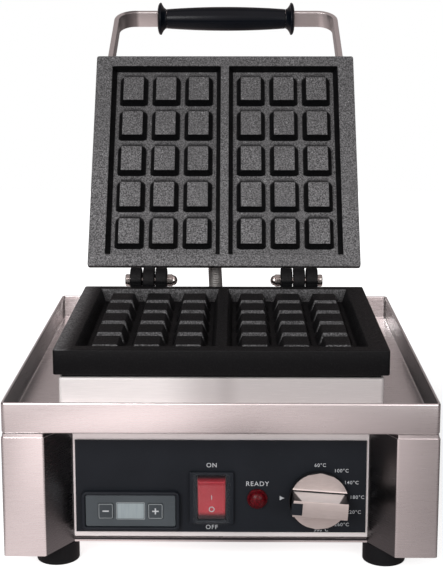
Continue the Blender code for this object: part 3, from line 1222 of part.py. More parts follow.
def handle(lid):
    """Flat-strip bracket with its screws, the grip and the two collars."""
    rings = []
    for point, outward, width in handle_stations():
        corners = ((1, 1), (1, -1), (-1, -1), (-1, 1))
        rings.append([tuple(point + outward * (a * STRIP_THICKNESS / 2) + width * (b * STRIP_WIDTH / 2))
                      for a, b in corners])
    bracket = loft("handle_bracket", [rings], STEEL, lid)
    inner = (ARM_SPACING - STRIP_THICKNESS) / 2
    outer = inner + STRIP_THICKNESS
    radius = HANDLE_SCREW_RADIUS + GAP
    for name, side, y in handle_screw_places():
        hole = turned("arm_hole_" + name,
                      [(radius, side * (inner - OVERRUN)), (radius, side * (outer + OVERRUN))], "X",
                      None, lid, (0, y, ARM_LEVEL), SCREW_SIDES)
        carve(bracket, hole)
        seat = outer + GAP
        profile = [(HANDLE_SCREW_RADIUS, side * (seat - HANDLE_SCREW_LENGTH)),
                   (HANDLE_SCREW_RADIUS, side * seat), (HANDLE_SCREW_HEAD_RADIUS, side * seat),
                   (HANDLE_SCREW_HEAD_RADIUS, side * (seat + HANDLE_SCREW_HEAD_HEIGHT / 2)),
                   (HANDLE_SCREW_HEAD_RADIUS / 2, side * (seat + HANDLE_SCREW_HEAD_HEIGHT))]
        turned("handle_screw_" + name, profile, "X", STEEL, lid, (0, y, ARM_LEVEL), SCREW_SIDES)
    axis = empty("grip_axis", (0, GRIP_Y, GRIP_Z), lid)
    axis.rotation_euler = (-ARM_SLOPE, 0, 0)
    profile = []
    for step in range(GRIP_SWELL_STEPS + 1):
        share = 2 * step / GRIP_SWELL_STEPS - 1
        swell = GRIP_SWELL * (1 - share * share)
        profile.append((GRIP_END_RADIUS + swell, share * GRIP_LENGTH / 2))
    grip = turned("handle_grip", profile, "X", BLACK_PLASTIC, axis)
    slot_y = STRIP_THICKNESS / 2 + GAP
    slot_z = STRIP_WIDTH / 2 + GAP
    reach = GRIP_LENGTH / 2 + GAP + COLLAR_WIDTH + OVERRUN
    carve(grip, box("grip_slot", (-reach, reach), (-slot_y, slot_y), (-slot_z, slot_z), None, axis))
    start = GRIP_LENGTH / 2 + GAP
    end = start + COLLAR_WIDTH
    for name, side in (("left", -1), ("right", 1)):
        profile = []
        for step in range(COLLAR_FLARE_STEPS + 1):
            share = step / COLLAR_FLARE_STEPS
            profile.append((GRIP_END_RADIUS + COLLAR_FLARE * share ** 2,
                            side * (start + COLLAR_WIDTH * COLLAR_RIM_SHARE * share)))
        profile.append((GRIP_END_RADIUS + COLLAR_FLARE * COLLAR_END_SHARE, side * end))
        collar = turned("grip_collar_" + name, profile, "X", BLACK_PLASTIC, axis)
        carve(collar, box("collar_slot_" + name, (-reach, reach), (-slot_y, slot_y), (-slot_z, slot_z),
                          None, axis))


def conduit_lid_level():
    """Height of the conduit's outlet above the hinge axis, on the closed lid."""
    return COVER_BOTTOM + CONDUIT_LID_HEIGHT


def conduit_route():
    """Points along the conduit from inside the lid cover to under the tray floor.

    Both ends are straight, and a smooth curve with the ends' directions joins them.
    """
    straight = 2 * CONDUIT_RADIUS
    wall_y, wall_z = turned_open(COVER_BACK, conduit_lid_level())
    lid_way = Vector((0, math.cos(LID_OPEN_ANGLE), -math.sin(LID_OPEN_ANGLE)))
    wall = Vector((CONDUIT_LID_X, wall_y, wall_z))
    start = wall - lid_way * (COVER_WALL + CONDUIT_END_REACH)
    bend_start = wall + lid_way * (GAP + NUT_LENGTH + straight / 4)
    down = Vector((0, 0, -1))
    nut_top = Vector((CONDUIT_BASE_X, CONDUIT_BASE_Y, TRAY_FLOOR + GAP + NUT_LENGTH))
    bend_end = nut_top - down * (straight / 4)
    end = nut_top + down * (NUT_LENGTH + SHEET + CONDUIT_END_REACH + GAP)
    points = [start]
    first, last = bend_start, bend_end
    first_handle = first + lid_way * CONDUIT_CURVE_HANDLE
    last_handle = last - down * CONDUIT_CURVE_HANDLE
    for step in range(CONDUIT_CURVE_STEPS + 1):
        t = step / CONDUIT_CURVE_STEPS
        points.append(first * (1 - t) ** 3 + first_handle * (3 * t * (1 - t) ** 2)
                      + last_handle * (3 * t * t * (1 - t)) + last * t ** 3)
    points.append(end)
    return points


def spaced(points, spacing):
    """Points at an even spacing near the given one along a polyline."""
    lengths = [0.0]
    for before, after in zip(points, points[1:]):
        lengths.append(lengths[-1] + (after - before).length)
    count = 2 * round(lengths[-1] / spacing / 2)
    result = []
    segment = 0
    for index in range(count + 1):
        target = lengths[-1] * index / count
        while segment < len(points) - 2 and lengths[segment + 1] < target:
            segment += 1
        share = (target - lengths[segment]) / (lengths[segment + 1] - lengths[segment])
        result.append(points[segment].lerp(points[segment + 1], share))
    return result


def conduit(frame):
    """Ribbed conduit with its bore, fixed at the lid cover and at the tray floor."""
    points = spaced(conduit_route(), CONDUIT_RIB_PITCH / 2)
    travelled = 0.0
    total = sum((after - before).length for before, after in zip(points, points[1:]))
    straight = NUT_LENGTH + COVER_WALL + CONDUIT_END_REACH
    outer, inner = [], []
    for index, point in enumerate(points):
        if index:
            travelled += (point - points[index - 1]).length
        before = points[max(index - 1, 0)]
        after = points[min(index + 1, len(points) - 1)]
        along = (after - before).normalized()
        side = (Vector((1, 0, 0)) - along * along.x).normalized()
        other = along.cross(side)
        ribbed = straight < travelled < total - straight
        radius = CONDUIT_VALLEY if ribbed and index % 2 else CONDUIT_RADIUS
        angles = [math.tau * step / CONDUIT_SIDES for step in range(CONDUIT_SIDES)]
        outer.append([tuple(point + (side * math.cos(a) + other * math.sin(a)) * radius) for a in angles])
        if index % CONDUIT_BORE_STRIDE == 0 or index == len(points) - 1:
            inner.append([tuple(point + (side * math.cos(a) + other * math.sin(a)) * CONDUIT_BORE_RADIUS)
                          for a in angles])
    return loft("conduit", [outer + inner[::-1]], DARK_STEEL, frame, ring_shaped=True, smooth=True)


def conduit_nuts(frame, lid):
    """Hexagonal fittings at the conduit's two ends."""
    bore = CONDUIT_RADIUS + GAP
    for name, axis, start, centre, parent in (
            ("conduit_nut_lid", "Y", COVER_BACK + GAP, (CONDUIT_LID_X, 0, conduit_lid_level()), lid),
            ("conduit_nut_base", "Z", TRAY_FLOOR + GAP, (CONDUIT_BASE_X, CONDUIT_BASE_Y, 0), frame)):
        end = start + NUT_LENGTH
        nut = turned(name, [(NUT_RADIUS, start), (NUT_RADIUS, end - NUT_CHAMFER),
                            (NUT_RADIUS - NUT_CHAMFER, end)], axis, STEEL, parent, centre,
                     HEX_SIDES)
        carve(nut, turned(name + "_bore", [(bore, start - OVERRUN), (bore, end + OVERRUN)], axis, None,
                          parent, centre))


def build_base(frame):
    """Everything that stays still."""
    tray_pan(frame)
    side_panel("left_side_panel", -1, frame)
    side_panel("right_side_panel", 1, frame)
    front_panel(frame)
    control_fascia(frame)
    rear_panel(frame)
    bottom_plate(frame)
    feet(frame)
    front_screws(frame)
    cord_gland(frame)
    terminal_block(frame)
    thermostat(frame)
    thermostat_knob(frame)
    power_switch(frame)
    ready_lamp(frame)
    timer(frame)
    plate_box(frame)
    lower_plate(frame)
    hinge_hardware(frame)
    conduit(frame)


def build_lid(lid):
    """Everything that swings with the lid."""
    upper_plate(lid)
    lid_cover(lid)
    handle(lid)


def main():
    """Build the iron, open, with its frame centred under it."""
    clear_scene()
    frame = empty("body_frame", (0, -TOTAL_DEPTH / 2, 0))
    lid = empty("lid_axis", (0, HINGE_Y, HINGE_Z), frame)
    lid.rotation_euler = (-LID_OPEN_ANGLE, 0, 0)
    build_base(frame)
    build_lid(lid)
    heating(frame, lid)
    conduit_nuts(frame, lid)


main()
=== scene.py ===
"""Dressed model of a countertop waffle iron with its lid open."""
import json
import math
from functools import partial

import bmesh
import bpy
import numpy as np
from bpy.props import FloatProperty, FloatVectorProperty, IntProperty, PointerProperty
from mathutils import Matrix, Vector


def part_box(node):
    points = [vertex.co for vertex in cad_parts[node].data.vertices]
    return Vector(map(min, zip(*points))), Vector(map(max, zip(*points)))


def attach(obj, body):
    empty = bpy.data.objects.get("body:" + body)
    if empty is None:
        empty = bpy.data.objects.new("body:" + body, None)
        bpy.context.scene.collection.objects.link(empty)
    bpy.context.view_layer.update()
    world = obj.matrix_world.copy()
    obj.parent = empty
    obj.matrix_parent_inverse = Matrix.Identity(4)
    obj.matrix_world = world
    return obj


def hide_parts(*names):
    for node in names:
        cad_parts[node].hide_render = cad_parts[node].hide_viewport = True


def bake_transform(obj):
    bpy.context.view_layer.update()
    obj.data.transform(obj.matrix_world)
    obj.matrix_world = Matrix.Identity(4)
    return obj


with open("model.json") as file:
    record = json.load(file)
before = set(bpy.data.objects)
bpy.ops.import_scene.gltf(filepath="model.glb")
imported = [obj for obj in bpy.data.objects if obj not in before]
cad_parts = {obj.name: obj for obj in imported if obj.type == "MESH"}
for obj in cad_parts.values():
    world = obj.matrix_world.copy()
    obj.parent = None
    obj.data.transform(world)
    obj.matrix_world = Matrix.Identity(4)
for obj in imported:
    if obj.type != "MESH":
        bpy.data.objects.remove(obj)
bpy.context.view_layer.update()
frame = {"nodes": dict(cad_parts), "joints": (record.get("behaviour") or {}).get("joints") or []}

bl_info = {
    "name": "Waffle Iron",
    "version": (1, 0, 0),
    "blender": (4, 5, 0),
    "location": "3D View > Sidebar > Waffle Iron",
    "description": "Builds the surfaces, finishes and stage of a countertop waffle iron",
    "category": "Add Mesh",
}

MM = 0.001
JOINTS = {joint["name"]: joint for joint in frame["joints"]}
HINGE_Y, HINGE_Z = JOINTS["lid_hinge"]["pos_m"][1:]
OPEN_ANGLE = math.radians(JOINTS["lid_hinge"]["range_deg"][1])


def mm(*values):
    """Millimetres as an array of metres."""
    return np.array(values) * MM


def chain(*parts):
    """Numbers and arrays one after another."""
    return np.concatenate([np.atleast_1d(part) for part in parts])


def quarter(count):
    """Angles over a quarter turn."""
    return np.linspace(0, np.pi / 2, count)


def corners(node):
    """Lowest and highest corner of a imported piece, as arrays."""
    low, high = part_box(node)
    return np.array(low), np.array(high)


def middle(node):
    """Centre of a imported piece's box."""
    low, high = corners(node)
    return (low + high) / 2


def half(node):
    """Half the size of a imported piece's box."""
    low, high = corners(node)
    return (high - low) / 2


FASCIA_FRONT = corners("control_fascia")[0][1]
PLATE_LOW, PLATE_HIGH = corners("lower_plate")
PLATE_HALF_X, PLATE_FRONT = PLATE_HIGH[0], PLATE_LOW[1]
PLATE_LENGTH, PLATE_TOP = 216 * MM, 150.6 * MM
HINGE_X, EAR_RADIUS = 67.5 * MM, 10.3 * MM
SHEET, PRINT = 1.2 * MM, 0.1 * MM
# Half the width and the height of a press key.
KEY = mm(5.3, 5.7)
# The closed lid, measured from the hinge axis.
PARTING, LID_FRONT, LID_BACK = -2.3 * MM, -229 * MM, -37.7 * MM
COVER_BOTTOM = 19.8 * MM
FITTING_X, FITTING_LEVEL = -8.8 * MM, COVER_BOTTOM + 18.5 * MM
GRIP_Y, GRIP_Z, GRIP_SLOPE = -330.1 * MM, 97.2 * MM, math.radians(32.9)


def length(name, millimetres, description):
    """A length that a user may set."""
    return FloatProperty(name=name, description=description, default=millimetres * MM, subtype="DISTANCE",
                         unit="LENGTH")


def tint(name, colour, description):
    """A colour that a user may set."""
    return FloatVectorProperty(name=name, description=description, default=colour, size=3, subtype="COLOR")


class WaffleSizes(bpy.types.PropertyGroup):
    """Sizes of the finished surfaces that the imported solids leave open."""
    plate_edge: length("Plate edge", 1.1, "Rounding of a plate's outer edges")
    block_softness: length("Block softness", 1.0, "Rounding of a block's edges, along its height")
    tray_bend: length("Tray bend", 1.6, "Radius of the bends of the tray")
    panel_bend: length("Panel bend", 2.2, "Radius of the side panels' upright bends")
    knob_fillet: length("Knob fillet", 5.0, "Radius between the knob's bar and its disc")
    rib_pitch: length("Rib pitch", 2.0, "Distance between two ribs of the conduit")
    label_height: length("Label height", 3.5, "Height of the printed capitals")
    round_steps: IntProperty(name="Round steps", description="Sides of a large turned piece",
                             default=96, min=24, max=256)


class WaffleColours(bpy.types.PropertyGroup):
    """Colours of the finishes."""
    steel: tint("Steel", (0.95, 0.92, 0.92), "Brushed stainless sheet")
    strip: tint("Strip", (0.86, 0.83, 0.82), "Satin handle strip")
    iron: tint("Iron", (0.205, 0.2, 0.205), "Granular grey faces of the cast plates")
    # Black of the cast plates: partly real blackening, partly painted shade on the lid's steep walls.
    seasoning: tint("Seasoning", (0.0022, 0.0025, 0.0032), "Blackened walls of the cast plates")
    fascia: tint("Fascia", (0.0125, 0.0145, 0.0185), "Blue-black control fascia")
    gloss: tint("Gloss black", (0.0035, 0.0052, 0.0085), "Grip and collars")
    matte: tint("Matte black", (0.0125, 0.015, 0.0195), "Bezels")
    red: tint("Red", (0.50, 0.045, 0.058), "Rocker")
    lamp: tint("Lamp", (0.13, 0.0015, 0.006), "Lamp lens")
    knob: tint("Knob", (0.66, 0.59, 0.565), "Satin knob")
    conduit: tint("Conduit", (0.36, 0.35, 0.34), "Ribbed conduit")


def sizes():
    """The sizes set in the scene."""
    return bpy.context.scene.waffle_sizes


def colour_of(colour):
    """A colour, or the scene's colour of this name."""
    return tuple(getattr(bpy.context.scene.waffle_colours, colour)) if isinstance(colour, str) else colour


def scaled(colour, factor, lift=0.0):
    """A colour times a factor, plus a little."""
    return tuple(c * factor + lift for c in colour)


# Surfaces


class Surface:
    """Grids of points and flat caps that become one mesh."""

    def __init__(self):
        self.points, self.faces, self.marks, self.values = [], [], [], []
        self.count = 0

    def add(self, points, value):
        """Takes points of any grid shape and a value for them, and returns the number of the first one."""
        self.points.append(points.reshape(-1, 3))
        self.values.append(np.broadcast_to(value, points.shape[:-1]).ravel())
        start = self.count
        self.count += len(self.points[-1])
        return start

    def grid(self, points, round_rows=False, round_columns=False, mark=0, value=0.0):
        """Joins points[row, column] to the next row and column; a round direction joins its end to its start."""
        rows, columns = points.shape[:2]
        index = np.arange(rows * columns).reshape(rows, columns) + self.add(points, value)
        if round_rows:
            index = np.vstack([index, index[:1]])
        if round_columns:
            index = np.hstack([index, index[:, :1]])
        quads = np.stack([index[:-1, :-1], index[:-1, 1:], index[1:, 1:], index[1:, :-1]], -1).reshape(-1, 4)
        self.faces += quads.tolist()
        self.marks += [mark] * len(quads)
        return self

    def cap(self, ring, mark=0):
        """One flat face inside a ring of points."""
        start = self.add(ring, 0.0)
        self.faces.append(list(range(start, start + len(ring))))
        self.marks.append(mark)
        return self

    def rings(self, points, mark=0, value=0.0):
        """Rings joined one after another."""
        return self.grid(points, False, True, mark, value)

    def hoop(self, points):
        """Rings joined one after another, and the last one to the first."""
        return self.grid(points, True, True)

    def tube(self, points, mark=0, value=0.0):
        """Rings joined one after another, with a flat face at both ends."""
        return self.rings(points, mark, value).cap(points[0], mark).cap(points[-1], mark)

    def piece(self, name, body, slot, finishes, replaces=(), sharp=38, attribute=None):
        """The mesh object, with doubles merged and faces out, riding on its body."""
        mesh = bpy.data.meshes.new(name)
        mesh.from_pydata(np.concatenate(self.points).tolist(), [], self.faces)
        mesh.polygons.foreach_set("material_index", self.marks)
        if attribute:
            layer = mesh.attributes.new(attribute, "FLOAT", "POINT")
            layer.data.foreach_set("value", np.concatenate(self.values).astype(np.float32))
        form = bmesh.new()
        form.from_mesh(mesh)
        bmesh.ops.remove_doubles(form, verts=form.verts, dist=0.002 * MM)
        bmesh.ops.recalc_face_normals(form, faces=form.faces)
        form.to_mesh(mesh)
        form.free()
        mesh.shade_smooth()
        mesh.set_sharp_from_angle(angle=math.radians(sharp))
        for each in finishes.split():
            mesh.materials.append(finish(each))
        return seat(bpy.data.objects.new(name, mesh), body, replaces)


def seat(item, body, replaces=()):
    """Links an object, lets it ride on a body and hides the imported pieces it stands for."""
    bpy.context.scene.collection.objects.link(item)
    if body:
        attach(item, body)
    if replaces:
        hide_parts(*replaces)
    return item


def rounded_ring(half_x, half_y, radius, steps=6):
    """Rings of rounded rectangles: each corner's centre plus the radius times a quarter turn's cosine and sine.

    The sizes are numbers or arrays with one value for each ring. The result is [ring, point, 2].
    """
    half_x, half_y, radius = np.broadcast_arrays(*(np.atleast_1d(np.asarray(v, float))[:, None]
                                                   for v in (half_x, half_y, radius)))
    turn = (np.arange(4)[:, None] * np.pi / 2 + quarter(steps + 1)).ravel()
    side_x = np.repeat([1, -1, -1, 1], steps + 1)
    side_y = np.repeat([1, 1, -1, -1], steps + 1)
    return np.stack([side_x * (half_x - radius) + radius * np.cos(turn),
                     side_y * (half_y - radius) + radius * np.sin(turn)], -1)


def raised(flat, height):
    """Adds a height to rings of plane points: [ring, point, 3]."""
    height = np.broadcast_to(np.asarray(height, float)[:, None], flat.shape[:2])
    return np.concatenate([flat, height[..., None]], -1)


def turned(radius, height, steps):
    """Rings of a turned shape: radius times cosine and sine of the turn, at each height."""
    turn = np.linspace(0, 2 * np.pi, steps, endpoint=False)
    radius = np.asarray(radius, float)
    if radius.ndim == 1:
        radius = radius[:, None]
    return raised(np.stack([radius * np.cos(turn), radius * np.sin(turn)], -1), height)


def on_front(points, x, z, y=FASCIA_FRONT):
    """Lays (across, up, out) on the fascia's plane or on a given y, facing the user."""
    return np.stack([x + points[..., 0], y - points[..., 2], z + points[..., 1]], -1)


def on_floor(points, x, y, z=0.0):
    """Lays (across, back, up) at a place on a level."""
    return points + np.array([x, y, z])


def on_hinge(points, x, side):
    """Lays (back, up, out) on a plane at x that faces one side, about the hinge axis."""
    return np.stack([x + side * points[..., 2], HINGE_Y + points[..., 0], HINGE_Z + points[..., 1]], -1)


def opened(points):
    """Turns points of the closed lid, measured from the hinge axis, to the open lid."""
    y, z = points[..., 1], points[..., 2]
    cosine, sine = math.cos(OPEN_ANGLE), math.sin(OPEN_ANGLE)
    return np.stack([points[..., 0], HINGE_Y + y * cosine + z * sine, HINGE_Z - y * sine + z * cosine], -1)


def quarter_round(edge, steps=4):
    """Inset and fall of a rounded edge: the edge times one minus cosine, and one minus sine, of a quarter turn."""
    turn = quarter(steps + 1)
    return edge * (1 - np.cos(turn)), edge * (1 - np.sin(turn))


def slab(half_x, half_y, radius, height, edge, steps=6):
    """Rings of a rounded rectangle's block whose front edge is rounded."""
    inset, fall = quarter_round(edge)
    inset = chain(0, inset)
    return raised(rounded_ring(half_x - inset, half_y - inset, np.maximum(radius - inset, 0.05 * MM), steps),
                  chain(0, height - fall))


def band(outer, inner, height, edge, floor=0.0):
    """Rings of a rectangular rim: up its outside, over two rounded edges and down its inside to a floor.

    Outer and inner are two half sizes and a corner's radius.
    """
    inset, fall = quarter_round(edge)
    x, y, radius = (chain(out, out - inset, (within + inset)[::-1], within) for out, within in zip(outer, inner))
    level = chain(0, height - fall, (height - fall)[::-1], floor)
    return raised(rounded_ring(x, y, np.maximum(radius, 0.05 * MM)), level)


def filleted(points, radius, steps=6):
    """A polyline whose inner corners become arcs of a circle that touches both sides.

    Each corner's points are its start, plus the arc's turn about a centre on the corner's bisector.
    """
    points = [np.asarray(p, float) for p in points]
    result = [points[0][None]]
    for before, corner, after in zip(points, points[1:], points[2:]):
        u = (before - corner) / np.linalg.norm(before - corner)
        v = (after - corner) / np.linalg.norm(after - corner)
        angle = math.acos(float(np.clip(u @ v, -1, 1)))
        bisector = (u + v) / np.linalg.norm(u + v)
        centre = corner + bisector * radius / math.sin(angle / 2)
        start, end = (corner + way * radius / math.tan(angle / 2) for way in (u, v))
        share = np.linspace(0, 1, steps + 1)[:, None]
        sweep = math.pi - angle
        arc = np.sin((1 - share) * sweep) * (start - centre) + np.sin(share * sweep) * (end - centre)
        result.append(centre + arc / math.sin(sweep))
    result.append(points[-1][None])
    return np.concatenate(result)


def plan_normals(path):
    """Unit normals of an open plan path, to the left of its travel, from the sides that meet at each point."""
    step = np.diff(path, axis=0)
    step /= np.linalg.norm(step, axis=1, keepdims=True)
    side = np.stack([-step[:, 1], step[:, 0]], -1)
    before = np.vstack([side[:1], side])
    after = np.vstack([side, side[-1:]])
    return (before + after) / (1 + np.sum(before * after, -1, keepdims=True))


def sheet_rings(path, low, high, edge):
    """Sections of an upright sheet along a plan path: the path shifted along its normals, between two heights."""
    offset = np.array([0, 0, 0.3, 0.7, 1, 1, 0.7, 0.3]) * SHEET
    rise = np.array([1, -1, -0.15, -0.15, -1, 1, 0.15, 0.15]) * edge
    level = low + (high - low) * np.array([0, 1, 1, 1, 1, 0, 0, 0]) + rise
    plan = path[:, None, :] + plan_normals(path)[:, None, :] * offset[:, None]
    return np.concatenate([plan, np.broadcast_to(level[:, None], (*plan.shape[:2], 1))], -1)


def extruded(section, low, high):
    """Two copies of a (y, z) section, at two places along X."""
    return np.stack([np.column_stack([np.full(len(section), x), section]) for x in (low, high)])


def carried(path, across, width, section):
    """A section carried along a path.

    Each point is the path's plus its two directions times the section's two sizes.
    """
    return path[:, None, :] + across[:, None, :] * section[None, :, :1] + width[:, None, :] * section[None, :, 1:]


def hexagon(apothem, reach, heights, drops, steps=72):
    """Rings of a chamfered hexagon: the flat's distance over the cosine of the turn from it, cut by a cone.

    Each level's radius is the smaller of the hexagon's and the chamfer's, which falls by the level's drop.
    """
    turn = np.linspace(0, 2 * np.pi, steps, endpoint=False)
    flat = apothem / np.cos((turn + np.pi / 6) % (np.pi / 3) - np.pi / 6)
    return turned(np.minimum(flat[None, :], reach - drops[:, None]), heights, steps)


# Finishes


class Value:
    """A shader socket: arithmetic on it adds Math nodes."""

    def __init__(self, finish, socket):
        self.finish, self.socket = finish, socket

    def math(self, operation, first, second=None):
        """A Math node of this operation."""
        sockets = {0: first} if second is None else {0: first, 1: second}
        return self.finish.node("ShaderNodeMath", {"operation": operation}, sockets)

    def __add__(self, other): return self.math("ADD", self, other)
    def __radd__(self, other): return self.math("ADD", other, self)
    def __sub__(self, other): return self.math("SUBTRACT", self, other)
    def __rsub__(self, other): return self.math("SUBTRACT", other, self)
    def __mul__(self, other): return self.math("MULTIPLY", self, other)
    def __rmul__(self, other): return self.math("MULTIPLY", other, self)
    def __abs__(self): return self.math("ABSOLUTE", self)


class Finish:
    """A material or a world whose nodes are added by expressions."""

    def __init__(self, owner):
        owner.use_nodes = True
        self.tree = owner.node_tree
        self.coordinates = None

    def node(self, kind, settings=None, sockets=None, output=0):
        """One node: its settings first, then the values or links of its sockets."""
        node = self.tree.nodes.new(kind)
        for name, setting in (settings or {}).items():
            if name == "stops":
                ramp = node.color_ramp
                for place, colour in setting[2:]:
                    ramp.elements.new(place)
                for element, (place, colour) in zip(ramp.elements, sorted(setting)):
                    element.position, element.color = place, (*colour, 1.0)
            else:
                setattr(node, name, setting)
        for name, value in (sockets or {}).items():
            self.put(node.inputs[name], value)
        return Value(self, node.outputs[output])

    def put(self, socket, value):
        """Links a value to a socket, or sets the socket."""
        if isinstance(value, Value):
            self.tree.links.new(value.socket, socket)
        elif socket.type == "RGBA" and len(value) == 3:
            socket.default_value = (*value, 1.0)
        else:
            socket.default_value = value

    def place(self):
        """Object coordinates, in metres."""
        if self.coordinates is None:
            self.coordinates = self.node("ShaderNodeTexCoord", output=3)
        return self.coordinates

    def stretched(self, scale):
        """Object coordinates times a scale for each axis."""
        return self.node("ShaderNodeVectorMath", {"operation": "MULTIPLY"}, {0: self.place(), 1: scale})

    def noise(self, scale, detail=2.0, roughness=0.5, vector=None):
        """Noise between 0 and 1."""
        return self.node("ShaderNodeTexNoise", None,
                         {"Vector": vector or self.place(), "Scale": scale, "Detail": detail,
                          "Roughness": roughness})

    def ramp(self, value, low, high, bottom=0.0, top=1.0):
        """A smooth step from bottom to top as the value goes from low to high."""
        return self.node("ShaderNodeMapRange", {"interpolation_type": "SMOOTHSTEP"},
                         {0: value, 1: low, 2: high, 3: bottom, 4: top})

    def mix(self, factor, first, second):
        """A mix of two colours."""
        return self.node("ShaderNodeMix", {"data_type": "RGBA"}, {0: factor, 6: first, 7: second}, output=2)

    def normal_part(self, axis):
        """One component of the surface's normal in object space, which turns with its body."""
        geometry = self.node("ShaderNodeNewGeometry", output=1)
        turned_back = self.node("ShaderNodeVectorTransform",
                                {"vector_type": "NORMAL", "convert_from": "WORLD", "convert_to": "OBJECT"},
                                {0: geometry})
        return self.node("ShaderNodeSeparateXYZ", None, {0: turned_back}, output=axis)

    def rays(self):
        """Whether a ray comes from the camera, from a glossy surface or through a clear one."""
        node = self.node("ShaderNodeLightPath").socket.node
        return [Value(self, node.outputs[name]) for name in ("Is Camera Ray", "Is Glossy Ray",
                                                             "Is Transmission Ray")]

    def part(self, axis):
        """One of the object coordinates."""
        return self.node("ShaderNodeSeparateXYZ", None, {0: self.place()}, output=axis)

    def bump(self, height, strength, distance):
        """A bump from a height."""
        return self.node("ShaderNodeBump", None,
                         {"Height": height, "Strength": strength, "Distance": distance})


def finish(name):
    """The material of this name, built the first time."""
    material = bpy.data.materials.get("finish_" + name)
    if material is None:
        material = bpy.data.materials.new("finish_" + name)
        made = Finish(material)
        shader = made.tree.nodes["Principled BSDF"]
        for socket, value in FINISHES[name](made).items():
            made.put(shader.inputs[socket], value)
    return material


def brushed(made, colour="steel", rough=0.26, wave=0.0, shade=0.0, metal=1.0, walls=0.0, fade=0.0, bends=0.0):
    """Brushed sheet: fine level streaks, soft clouds of roughness and a slight unevenness of the sheet.

    The shade is painted shade on the faces that stand aslant, such as the cheeks between the legs and the fascia.
    Walls is painted shade on upright faces that look inwards, less towards the back. Fade is a painted reflection
    that darkens the sheet to the right, with a darker dip near its middle, and bends is a painted reflection, a
    dark strip just inside its left bend. Wave makes a thin sheet uneven.
    """
    colour = colour_of(colour)
    upright = made.noise(1.0, 3.0, 0.65, made.stretched((60.0, 60.0, 3200.0)))
    flat = made.noise(1.0, 3.0, 0.65, made.stretched((60.0, 3200.0, 60.0)))
    level = made.ramp(abs(made.normal_part(2)), 0.5, 0.8)
    streak = upright * (1 - level) + flat * level
    cloud = made.noise(7.0, 2.0)
    fine = made.noise(900.0, 1.0)
    tone = made.ramp(streak, 0.28, 0.72)
    base = made.mix(tone, scaled(colour, 0.92), colour)
    base = made.mix(made.ramp(cloud, 0.35, 0.7) * 0.5, base, scaled(colour, 0.90))
    if shade:
        # Painted shade on the slanted cheeks between the legs and the fascia.
        painted_slant_shade = made.ramp(abs(made.normal_part(0)), 0.6, 0.8) * made.ramp(abs(made.normal_part(1)), 0.3, 0.5)
        base = made.mix(painted_slant_shade * shade, base, (0.02, 0.02, 0.024))
    if walls:
        # Painted shade on the tray's upright inner walls, less towards the back.
        inward = made.ramp(made.normal_part(0) * made.part(0), -0.09, -0.13) * made.ramp(made.part(1), 0.03, -0.12)
        base = made.mix(inward * walls, base, (0.02, 0.024, 0.03))
    if fade:
        # Painted reflection: the sheet darkens to the right, with a darker dip near the middle.
        x = made.part(0)
        painted_reflection_dip = made.ramp(abs(x - 0.004), 0.012, 0.0)
        base = made.mix(made.ramp(x, -0.05, -0.006) * fade + painted_reflection_dip * 0.14, base, (0.30, 0.27, 0.27))
    if bends:
        # Painted reflection: a dark strip just inside the left bend of the handle strip.
        x = made.part(0)
        painted_bend_reflection = made.ramp(x, -0.110, -0.105) * made.ramp(x, -0.091, -0.096)
        base = made.mix(painted_bend_reflection * bends, base, (0.12, 0.11, 0.11))
    roughness = rough - 0.05 + streak * 0.08 + cloud * 0.06
    normal = made.bump(streak * 0.35 + fine * 0.05, 0.08, 0.0004)
    found = {"Base Color": base, "Roughness": roughness, "Metallic": metal}
    if wave:
        dent = made.noise(1.0, 1.0, 0.4, made.stretched((26.0, 26.0, 60.0)))
        normal = made.node("ShaderNodeBump", None, {"Height": dent, "Strength": wave, "Distance": 0.004,
                                                    "Normal": normal})
    found["Normal"] = normal
    return found


def lip_steel(made):
    """The same sheet with a painted shadow line along its upper edge, on the bottom plate's front lip."""
    found = brushed(made, colour_of("steel"))
    # Painted shadow: a dark line along the top of the lip's front face.
    edge = made.ramp(made.part(2), 0.0163, 0.0166) * made.ramp(made.normal_part(1), -0.5, -0.8)
    found["Base Color"] = made.mix(edge * 0.95, found["Base Color"], (0.012, 0.012, 0.018))
    return found


def cast_iron(made):
    """Cast iron: grey where its attribute paints light, black where it paints shade, on the base partly real
    blackening.
    """
    worn = made.node("ShaderNodeAttribute", {"attribute_type": "GEOMETRY", "attribute_name": "worn"},
                     output=2)
    grain = made.noise(800.0, 2.0, 0.7)
    coarse = made.noise(230.0, 3.0, 0.6)
    cloud = made.noise(16.0, 3.0, 0.6)
    speck = made.ramp(grain, 0.36, 0.66)
    iron, black = colour_of("iron"), colour_of("seasoning")
    grey = made.mix(speck, scaled(iron, 0.30), scaled(iron, 1.45))
    grey = made.mix(made.ramp(cloud, 0.4, 0.68) * 0.4, grey, scaled(iron, 0.62))
    # Painted shade: the open lid's plate darkens towards its top edge.
    grey = made.mix(made.ramp(made.part(2), 0.18, 0.34) * 0.32, grey, scaled(iron, 0.12))
    sparkle = made.ramp(coarse * 0.5 + grain * 0.5, 0.58, 0.68)
    grey = made.mix(sparkle * 0.6, grey, scaled(iron, 2.3))
    dark = made.mix(made.ramp(grain, 0.5, 0.72) * 0.4, black, (0.017, 0.0165, 0.0185))
    base = made.mix(made.ramp(worn, 0.0, 1.0), dark, grey)
    height = grain * 0.6 + coarse * 0.4
    return {"Base Color": base, "Roughness": 0.62 - speck * 0.12 + (1 - worn) * 0.03,
            "Metallic": 0.0, "Specular IOR Level": 0.18,
            "Normal": made.bump(height, 0.5, 0.0008)}


